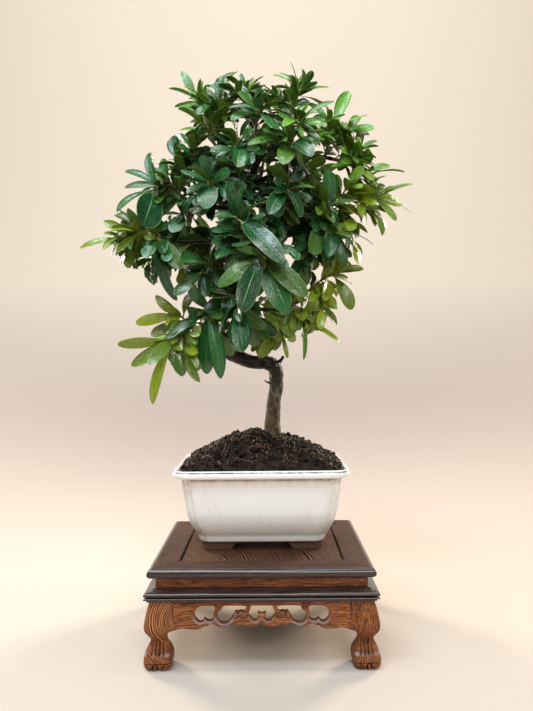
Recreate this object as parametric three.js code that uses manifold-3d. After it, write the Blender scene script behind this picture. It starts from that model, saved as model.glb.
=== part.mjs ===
// A scarlet firethorn bonsai in a cream glazed pot, on a carved wooden display stand.
// Millimetres, +Z up, the front of the tree towards -Y. Everything is laid out in the stand's own frame,
// whose origin is the middle of the stand on the surface below it. The whole group is shifted at the end,
// so that the exported origin is the bottom centre of the bounding box.

import * as THREE from 'three';
import { mergeVertices } from 'three/addons/utils/BufferGeometryUtils.js';
import Module from 'manifold-3d';

const wasm = await Module();
wasm.setup();

// Driving dimensions of the stand
const TOP_LENGTH = 200;
const TOP_DEPTH = 162;
const TOP_Z = 86.5;
const TOP_THICKNESS = 8.4;
const BORDER = 25.5;
const WAIST_Z = TOP_Z - TOP_THICKNESS;
const MOULDING_LENGTH = 205;
const MOULDING_DEPTH = MOULDING_LENGTH - TOP_LENGTH + TOP_DEPTH;
const APRON_Z = 58.6;
const APRON_THICKNESS = 5;
const APRON_INSET = 4.5;
const LEG_INNER = 77.2;
const BELLY = 4.5;

// Driving dimensions of the pot
const POT_CENTRE_Y = 9.5;
const POT_FOOT_Z = 85.2;
const POT_BASE_Z = 92.7;
const POT_FLOOR_Z = 99;
const POT_RIM_Z = 165;
const POT_BASE_HALF_LENGTH = 56;
const POT_BASE_HALF_DEPTH = 30;
const SOIL_RISE = 33;
const SOIL_APEX_X = -5;

// Clearances between separate pieces
const SEAT = 0.2;
const SEAM = 0.1;
const GRAFT = 0.3;

// Colours, roughness and metalness
const finish = (color, roughness) => new THREE.MeshStandardMaterial({ color, roughness, metalness: 0 });
const DARK_WOOD = finish(0x33211a, 0.35);
const BROWN_WOOD = finish(0x6b3b1f, 0.5);
const GLAZE = finish(0xe9e4da, 0.25);
const SCREEN = finish(0x1d1d1d, 0.6);
const EARTH = finish(0x241a14, 0.95);
const BARK = finish(0x4a392b, 0.8);
const LEAF = finish(0x2f6b2c, 0.35);

// Solids and meshes

// A manifold solid from any closed geometry, its shared corners merged and its faces turned outwards.
function solid(geometry) {
  const plain = geometry.index ? geometry.toNonIndexed() : geometry.clone();
  for (const name of Object.keys(plain.attributes)) {
    if (name !== 'position') plain.deleteAttribute(name);
  }
  const merged = mergeVertices(plain, 1e-4);
  const corners = Array.from(merged.index.array);
  const faces = [];
  for (let i = 0; i < corners.length; i += 3) {
    const [a, b, c] = corners.slice(i, i + 3);
    if (a !== b && b !== c && c !== a) faces.push([a, b, c]);
  }
  const at = i => new THREE.Vector3().fromBufferAttribute(merged.attributes.position, i);
  const volume = faces.reduce((sum, [a, b, c]) => sum + at(a).dot(at(b).cross(at(c))), 0);
  const triVerts = new Uint32Array(faces.flatMap(f => (volume < 0 ? [f[0], f[2], f[1]] : f)));
  return new wasm.Manifold(
    new wasm.Mesh({ numProp: 3, vertProperties: merged.attributes.position.array, triVerts })
  );
}

const tree = new THREE.Group();

// Adds a named mesh of a geometry or a manifold solid.
function add(name, shape, material) {
  let geometry = shape;
  if (!shape.isBufferGeometry) {
    const mesh = shape.getMesh();
    geometry = new THREE.BufferGeometry();
    geometry.setAttribute('position', new THREE.BufferAttribute(new Float32Array(mesh.vertProperties), 3));
    geometry.setIndex(new THREE.BufferAttribute(new Uint32Array(mesh.triVerts), 1));
    geometry.computeVertexNormals();
  }
  const made = new THREE.Mesh(geometry, material);
  made.name = name;
  tree.add(made);
  return made;
}

// Moves every corner of a geometry to where place(x, y, z) says.
function reshape(geometry, place) {
  const position = geometry.attributes.position;
  for (let i = 0; i < position.count; i++) {
    position.setXYZ(i, ...place(position.getX(i), position.getY(i), position.getZ(i)));
  }
  return geometry;
}

// A closed geometry from corner points and triangles.
function faceted(points, faces) {
  const geometry = new THREE.BufferGeometry();
  const numbers = points.flatMap(p => [p.x, p.y, p.z]);
  geometry.setAttribute('position', new THREE.Float32BufferAttribute(numbers, 3));
  geometry.setIndex(faces.flat());
  return geometry;
}

// A closed body through rings of points, each ring with the same number of points.
function loft(rings) {
  const count = rings[0].length;
  const faces = [];
  for (let k = 0; k + 1 < rings.length; k++) {
    for (let i = 0; i < count; i++) {
      const a = k * count + i;
      const b = k * count + ((i + 1) % count);
      faces.push([a, b, a + count], [b, b + count, a + count]);
    }
  }
  const last = (rings.length - 1) * count;
  for (let i = 1; i + 1 < count; i++) faces.push([0, i + 1, i], [last, last + i, last + i + 1]);
  return faceted(rings.flat(), faces);
}

// The same short random sequence every time: a seed in, numbers from 0 to 1 out.
function sequence(seed) {
  let state = seed;
  return () => {
    state = (state * 48271) % 2147483647;
    return state / 2147483647;
  };
}

// The stand

// One of four boards mitred round a rectangle.
// Its section is a list of [distance in from the outer edge, height].
const SIDES = ['front', 'right', 'back', 'left'];
function board(section, length, depth, side) {
  const shape = new THREE.Shape(section.map(([q, z]) => new THREE.Vector2(q, z)));
  const geometry = new THREE.ExtrudeGeometry(shape, { depth: 1, steps: 1, bevelEnabled: false });
  const turned = side === 'left' || side === 'right';
  const run = (turned ? depth : length) / 2;
  const out = (turned ? length : depth) / 2;
  const sign = side === 'front' || side === 'left' ? -1 : 1;
  return reshape(geometry, (q, z, end) => {
    const along = (2 * end - 1) * (run - q - SEAM / 2);
    const across = sign * (out - q);
    return turned ? [across, along, z] : [along, across, z];
  });
}

function addStandTop() {
  const radius = TOP_THICKNESS / 2;
  const nose = [-90, -54, -18, 18, 54, 90].map(deg => {
    const a = THREE.MathUtils.degToRad(deg);
    return [radius - radius * Math.cos(a), TOP_Z - radius + radius * Math.sin(a)];
  });
  const groove = 5;
  const tongueTop = TOP_Z - 3;
  const tongueBottom = TOP_Z - 6;
  const section = [
    ...nose,
    [BORDER, TOP_Z],
    [BORDER, tongueTop],
    [BORDER - groove, tongueTop],
    [BORDER - groove, tongueBottom],
    [BORDER, tongueBottom],
    [BORDER, WAIST_Z],
  ];
  for (const side of SIDES) {
    add('stand_top_' + side, solid(board(section, TOP_LENGTH, TOP_DEPTH, side)), DARK_WOOD);
  }
  const gap = 1;
  const inner = [TOP_LENGTH - 2 * BORDER - 2 * gap, TOP_DEPTH - 2 * BORDER - 2 * gap];
  const panelTop = POT_FOOT_Z - SEAT;
  const panelBottom = WAIST_Z + 1;
  const field = new THREE.BoxGeometry(inner[0], inner[1], panelTop - panelBottom);
  field.translate(0, 0, (panelTop + panelBottom) / 2);
  const tongue = new THREE.BoxGeometry(
    TOP_LENGTH - 2 * BORDER + 2 * groove - 2 * SEAT,
    TOP_DEPTH - 2 * BORDER + 2 * groove - 2 * SEAT,
    tongueTop - tongueBottom - 2 * SEAT
  );
  tongue.translate(0, 0, (tongueTop + tongueBottom) / 2);
  add('stand_panel', solid(field).add(solid(tongue)), BROWN_WOOD);
}

// The drawn-in waist and the two-step moulding below it are one board on each side.
function addStandWaist() {
  const section = [
    [9.3, WAIST_Z - SEAT],
    [9.3, 68.8],
    [6.5, 68.2],
    [2.2, 67],
    [0.5, 66.2],
    [0, 65.1],
    [0.6, 63.9],
    [3, 62.9],
    [0.6, 62.4],
    [0, 61.7],
    [0.6, 60.9],
    [2.4, 60.3],
    [2.4, APRON_Z + SEAT],
    [24, APRON_Z + SEAT],
    [24, WAIST_Z - SEAT],
  ];
  for (const side of SIDES) {
    add('stand_waist_' + side, solid(board(section, MOULDING_LENGTH, MOULDING_DEPTH, side)), DARK_WOOD);
  }
}

// How far the aprons and legs swell outwards at a height, below the moulding.
function belly(z) {
  const down = THREE.MathUtils.clamp((APRON_Z - z) / 26, 0, 1);
  return BELLY * Math.sin((down * Math.PI) / 2);
}

// Half outlines of the apron, from its middle to its right end: [along, height].
const APRON_EDGE = [
  [0, 40.2],
  [8, 37.8],
  [16, 39.8],
  [19.5, 38.4],
  [24, 40.4],
  [33, 37.8],
  [44, 40.4],
  [47, 38.4],
  [55, 35.8],
  [66, 36.4],
  [73, 36.2],
];
const APRON_END_Z = 34.6;
const MIDDLE_OPENING = [
  [0, 48.6],
  [3.2, 49.6],
  [2.8, 44.8],
  [6, 43.2],
  [9, 45.6],
  [11.2, 48.6],
  [9, 54.5],
];
const KIDNEY_OPENING = [
  [13.3, 52.6],
  [14.6, 54.4],
  [33.6, 54.4],
  [35, 51.2],
  [38, 49.6],
  [38.4, 45],
  [35.4, 41.9],
  [31.5, 41.4],
  [28, 43],
  [24.4, 47.6],
  [22.4, 50.2],
  [14.8, 50.4],
];
const END_OPENING = [
  [41.2, 54.2],
  [53.4, 54.6],
  [57.4, 51.8],
  [58.4, 48],
  [56.6, 44],
  [52.6, 42.3],
  [49.2, 44.8],
  [45.4, 43.4],
  [42, 44.6],
  [41.4, 48.4],
];
const mirrored = points => points.map(([x, z]) => [-x, z]).reverse();
const asPath = points => new THREE.Path(points.map(([x, z]) => new THREE.Vector2(x, z)));

function addApron(side) {
  const turned = side === 'left' || side === 'right';
  const overhang = (TOP_LENGTH - TOP_DEPTH) / 2;
  const half = (turned ? LEG_INNER - overhang : LEG_INNER) - SEAT;
  const top = APRON_Z - SEAT;
  const edge = [...APRON_EDGE.filter(([x]) => x < half - 4), [half, APRON_END_Z]];
  const outline = [[-half, top], ...mirrored(edge).slice(0, -1), ...edge, [half, top]];
  const shape = new THREE.Shape(outline.map(([x, z]) => new THREE.Vector2(x, z)));
  const middle = [...mirrored(MIDDLE_OPENING).slice(0, -1), ...MIDDLE_OPENING];
  const pairs = turned ? [KIDNEY_OPENING] : [KIDNEY_OPENING, END_OPENING];
  shape.holes = [middle, ...pairs, ...pairs.map(mirrored)].map(asPath);
  const slab = { depth: APRON_THICKNESS, steps: 1, bevelEnabled: false };
  const geometry = new THREE.ExtrudeGeometry(shape, slab);
  const sign = side === 'front' || side === 'left' ? -1 : 1;
  const face = (turned ? MOULDING_LENGTH : MOULDING_DEPTH) / 2 - APRON_INSET;
  reshape(geometry, (x, z, back) => {
    const across = sign * (face + belly(z) - back);
    return turned ? [across, x, z] : [x, across, z];
  });
  add('stand_apron_' + side, solid(geometry), BROWN_WOOD);
}

// Leg sections: [height, outer face, inner face, squareness], measured along X from the stand's middle.
const LEG_SECTIONS = [
  [0, 101.2, 81, 4],
  [4, 102.8, 79.3, 5],
  [11, 102.8, 78.6, 5],
  [17, 100.6, 80.4, 3.5],
  [24, 97.6, 83.6, 3],
  [29.5, 100.3, 82.3, 4],
  [32.5, 102, 81, 5],
  [34.8, 102.7, LEG_INNER + SEAT, 8],
  [46, 101.7, LEG_INNER + SEAT, 9],
  [APRON_Z - SEAT, 98.4, LEG_INNER + SEAT, 9],
];
// The claw foot: where its middle stands along X, and the five toes round it, turned from the outer corner.
const FOOT_MIDDLE = 90.8;
const TOES = [-78, -39, 0, 39, 78];
const TOE_RADIUS = 3.6;
const TOE_HEIGHT = 9.6;

function addLeg(name, signX, signY) {
  const corners = 12;
  const overhang = (TOP_LENGTH - TOP_DEPTH) / 2;
  const rings = LEG_SECTIONS.map(([z, outer, inner, power]) => {
    const half = (outer - inner) / 2;
    const middle = (outer + inner) / 2;
    return Array.from({ length: corners }, (_, i) => {
      const a = ((i + 0.5) / corners) * 2 * Math.PI;
      const norm = Math.abs(Math.cos(a)) ** power + Math.abs(Math.sin(a)) ** power;
      const reach = half / norm ** (1 / power);
      return new THREE.Vector3(
        signX * (middle + reach * Math.cos(a)),
        signY * (middle - overhang + reach * Math.sin(a)),
        z
      );
    });
  });
  let leg = solid(loft(rings));
  for (const deg of TOES) {
    const toe = new THREE.SphereGeometry(1, 5, 3);
    const a = THREE.MathUtils.degToRad(45 + deg);
    const ahead = 8.6 + 2.4 * Math.cos(THREE.MathUtils.degToRad(2 * deg)) ** 2;
    reshape(toe, (x, y, z) => [
      signX * (FOOT_MIDDLE + ahead * Math.cos(a) + TOE_RADIUS * x),
      signY * (FOOT_MIDDLE - overhang + ahead * Math.sin(a) + TOE_RADIUS * y),
      Math.max(0, (TOE_HEIGHT / 2) * (1 + 1.1 * z) - 0.2),
    ]);
    leg = leg.add(solid(toe));
  }
  add('stand_leg_' + name, leg, BROWN_WOOD);
}

// The pot

// A ring of the pot's plan: a rectangle with round corners, each corner stepped in from its two ends.
function potRing(outset, z, notch) {
  const radius = 7 + 0.2 * outset;
  const hx = POT_BASE_HALF_LENGTH + outset;
  const hy = POT_BASE_HALF_DEPTH + outset;
  const quarter = [[hx, hy - radius]];
  for (const deg of [5, 32, 58, 85]) {
    const a = THREE.MathUtils.degToRad(deg);
    const arm = radius - notch;
    quarter.push([hx - radius + arm * Math.cos(a), hy - radius + arm * Math.sin(a)]);
  }
  quarter.push([hx - radius, hy]);
  const flip = points => points.slice().reverse();
  const plan = [
    ...quarter,
    ...flip(quarter).map(([x, y]) => [-x, y]),
    ...quarter.map(([x, y]) => [-x, -y]),
    ...flip(quarter).map(([x, y]) => [x, -y]),
  ];
  return plan.map(([x, y]) => new THREE.Vector3(x, y + POT_CENTRE_Y, z));
}

// Outer wall from the base up and over the rim: [height, outset, corner step].
const POT_OUTSIDE = [
  [POT_BASE_Z, 2, 0.4],
  [94, 3.8, 0.6],
  [98.5, 5.8, 1],
  [104, 8.8, 1.4],
  [111.5, 12.5, 1.6],
  [120, 15.4, 1.6],
  [133, 17.8, 1.6],
  [157, 20.6, 1.4],
  [158.8, 26.4, 0.8],
  [160.4, 27.7, 0.8],
  [163.6, 27.7, 0.6],
  [POT_RIM_Z, 26.6, 0],
];
// Inner wall from the rim down to the floor: [height, outset].
const POT_INSIDE = [
  [POT_RIM_Z - 0.6, 23.4],
  [158, 16.6],
  [120, 10.4],
  [POT_FLOOR_Z, 2],
];
const HOLE_X = 27;
const HOLE_RADIUS = 6;

function addPot() {
  const rings = [
    ...POT_OUTSIDE.map(([z, outset, notch]) => potRing(outset, z, notch)),
    ...POT_INSIDE.map(([z, outset]) => potRing(outset, z, 0)),
  ];
  let pot = solid(loft(rings));
  for (const signX of [-1, 1]) {
    const hole = new THREE.CylinderGeometry(HOLE_RADIUS, HOLE_RADIUS, 20, 10);
    hole.rotateX(Math.PI / 2);
    hole.translate(signX * HOLE_X, POT_CENTRE_Y, POT_FLOOR_Z);
    pot = pot.subtract(solid(hole));
    for (const signY of [-1, 1]) {
      const outline = [
        [24, POT_BASE_Z + 2],
        [30, POT_FOOT_Z],
        [56.5, POT_FOOT_Z],
        [57.5, POT_BASE_Z + 2],
      ];
      const shape = new THREE.Shape(outline.map(([x, z]) => new THREE.Vector2(signX * x, z)));
      const foot = new THREE.ExtrudeGeometry(shape, { depth: 13, steps: 1, bevelEnabled: false });
      reshape(foot, (x, z, back) => [x, POT_CENTRE_Y + signY * (POT_BASE_HALF_DEPTH - 1 - back), z]);
      pot = pot.add(solid(foot));
    }
  }
  add('pot', pot, GLAZE);
}

// A plastic screen over each drain hole keeps the soil in.
function addScreens() {
  const size = 18;
  const cell = 6;
  const pitch = 8;
  for (const [name, signX] of [['left', -1], ['right', 1]]) {
    const place = box => box.translate(signX * HOLE_X, POT_CENTRE_Y, POT_FLOOR_Z + SEAT + 0.5);
    let screen = solid(place(new THREE.BoxGeometry(size, size, 1)));
    for (const x of [-pitch / 2, pitch / 2]) {
      for (const y of [-pitch / 2, pitch / 2]) {
        const gap = place(new THREE.BoxGeometry(cell, cell, 3)).translate(x, y, 0);
        screen = screen.subtract(solid(gap));
      }
    }
    add('drain_screen_' + name, screen, SCREEN);
  }
}

// The soil

// The height of the mound a share of the way from its top to the wall, with crumbs on it.
function soilHeight(share, crumb) {
  return POT_RIM_Z - 1 + SOIL_RISE * (1 - share * share) + crumb;
}

function soilSolid() {
  const random = sequence(4217);
  const inset = 0.5;
  const walls = POT_INSIDE.slice(0, -1)
    .reverse()
    .map(([z, outset]) => potRing(outset - inset, z, 0));
  const floor = potRing(2.6, POT_FLOOR_Z + 1.6, 0);
  const edge = potRing(POT_INSIDE[0][1] - inset, POT_RIM_Z - 0.6, 0);
  const apex = new THREE.Vector3(SOIL_APEX_X, POT_CENTRE_Y, 0);
  const mound = [0.84, 0.64, 0.44, 0.24, 0.08].map(share =>
    edge.map(p => {
      const at = apex.clone().lerp(p, share);
      at.z = soilHeight(share, 3 * (random() - 0.5));
      return at;
    })
  );
  return solid(loft([floor, ...walls, ...mound]));
}

// The trunk and its branches

// Centre line points and radii of the trunk, from the root up: [x, y, z, radius].
const TRUNK = [
  [12, 10, 150, 5],
  [12, 10, 172, 9.5],
  [11, 10, 197, 8.6],
  [12.5, 10, 223, 7],
  [15.5, 9, 246, 7.2],
  [13.5, 8, 261, 7.6],
  [4, 7, 266, 7.2],
  [-8, 6, 266, 6.8],
  [-21, 4, 271, 7],
  [-34, 2, 278, 7.4],
  [-42, 0, 291, 7.2],
  [-41, 2, 309, 6.8],
  [-31, 6, 331, 6.6],
  [-25, 8, 356, 6.8],
  [-31, 8, 380, 7.8],
  [-36, 8, 398, 7],
  [-27, 8, 423, 5.6],
  [-11, 8, 446, 4.7],
  [-3, 6, 471, 3.9],
  [-5, 5, 496, 3.1],
  [-10, 4, 514, 2.5],
  [-12, 4, 524, 2.2],
];

// Branches that leave the trunk: [x, y, z, radius] along each, starting inside the trunk.
const BRANCHES = {
  trunk: TRUNK,
  left_low: [[-43, 0, 290, 3.4], [-58, -8, 287, 2.6], [-70, -14, 290, 1.9]],
  left_mid: [[-37, 8, 392, 2.6], [-61, 0, 387, 2], [-82, -11, 385, 1.8], [-100, -20, 387, 1.5]],
  left_up: [[-27, 8, 420, 3], [-53, -6, 424, 2.4], [-76, -16, 436, 1.8]],
  top_left: [[-3, 6, 468, 2.8], [-25, 0, 489, 2.3], [-44, -3, 508, 1.7]],
  top_right: [[-3, 6, 469, 2.8], [18, 3, 489, 2.3], [32, 2, 508, 1.7]],
  right_up: [[-11, 8, 444, 3.2], [24, 4, 460, 2.6], [56, 0, 472, 2.2], [80, -3, 467, 1.7]],
  right_mid: [[-27, 8, 420, 3.2], [12, 0, 407, 2.6], [42, -7, 408, 2.1], [58, -12, 411, 1.7]],
  right_low: [[-31, 6, 329, 3], [-2, 4, 320, 2.5], [24, 2, 319, 2.1], [40, 2, 328, 1.7]],
  front: [[-31, 6, 379, 3.4], [-23, -28, 374, 2.6], [-13, -52, 371, 2]],
  back_up: [[-11, 8, 446, 3], [0, 36, 462, 2.3], [4, 58, 486, 1.7]],
  back_low: [[-31, 8, 379, 3.2], [-24, 36, 379, 2.5], [-18, 60, 388, 1.9]],
};

// Short pruned stubs on the lower trunk: [from, to, radius at each end].
const STUBS = [
  [[12, 9, 243], [3, 5, 247.5], 1.3, 0.9],
  [[1, 7, 267], [-0.5, 7, 277], 1.4, 0.8],
  [[16, 8, 262], [23, 6, 272], 2.4, 1.7],
];

// Rings of a round tube along points, turned with it, its radius wandering a little as bark does.
function tubeRings(points, radii, sides, wander, random) {
  const rings = [];
  let side = new THREE.Vector3(0.31, 0.9, 0.3);
  points.forEach((point, k) => {
    const before = points[Math.max(0, k - 1)];
    const after = points[Math.min(points.length - 1, k + 1)];
    const along = after.clone().sub(before).normalize();
    side = side.clone().addScaledVector(along, -side.dot(along)).normalize();
    const other = along.clone().cross(side);
    rings.push(
      Array.from({ length: sides }, (_, i) => {
        const a = (i / sides) * 2 * Math.PI;
        const radius = radii[k] * (1 + wander * (random() - 0.5));
        return point
          .clone()
          .addScaledVector(side, radius * Math.cos(a))
          .addScaledVector(other, radius * Math.sin(a));
      })
    );
  });
  return rings;
}

const vector = ([x, y, z]) => new THREE.Vector3(x, y, z);

// The trunk with its branches and stubs, every radius larger by spare.
function wood(spare) {
  const random = sequence(977);
  const tubes = Object.entries(BRANCHES).map(([name, line]) => {
    const sides = name === 'trunk' ? 9 : 5;
    const radii = line.map(p => p[3] + spare);
    return solid(loft(tubeRings(line.map(vector), radii, sides, 0.14, random)));
  });
  const stubs = STUBS.map(([from, to, wide, narrow]) =>
    solid(loft(tubeRings([vector(from), vector(to)], [wide + spare, narrow + spare], 6, 0, random)))
  );
  return wasm.Manifold.union([...tubes, ...stubs]);
}

// The leafy sprays

const CROWN_CENTRE = vector([-15, 0, 400]);
const UP = vector([0, 0, 1]);
const GOLDEN_ANGLE = 2.399963;
const LONGEST_BLADE = 58;
const TWIG_LEAVES = 13;
const FORK_LEAVES = 6;

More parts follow.
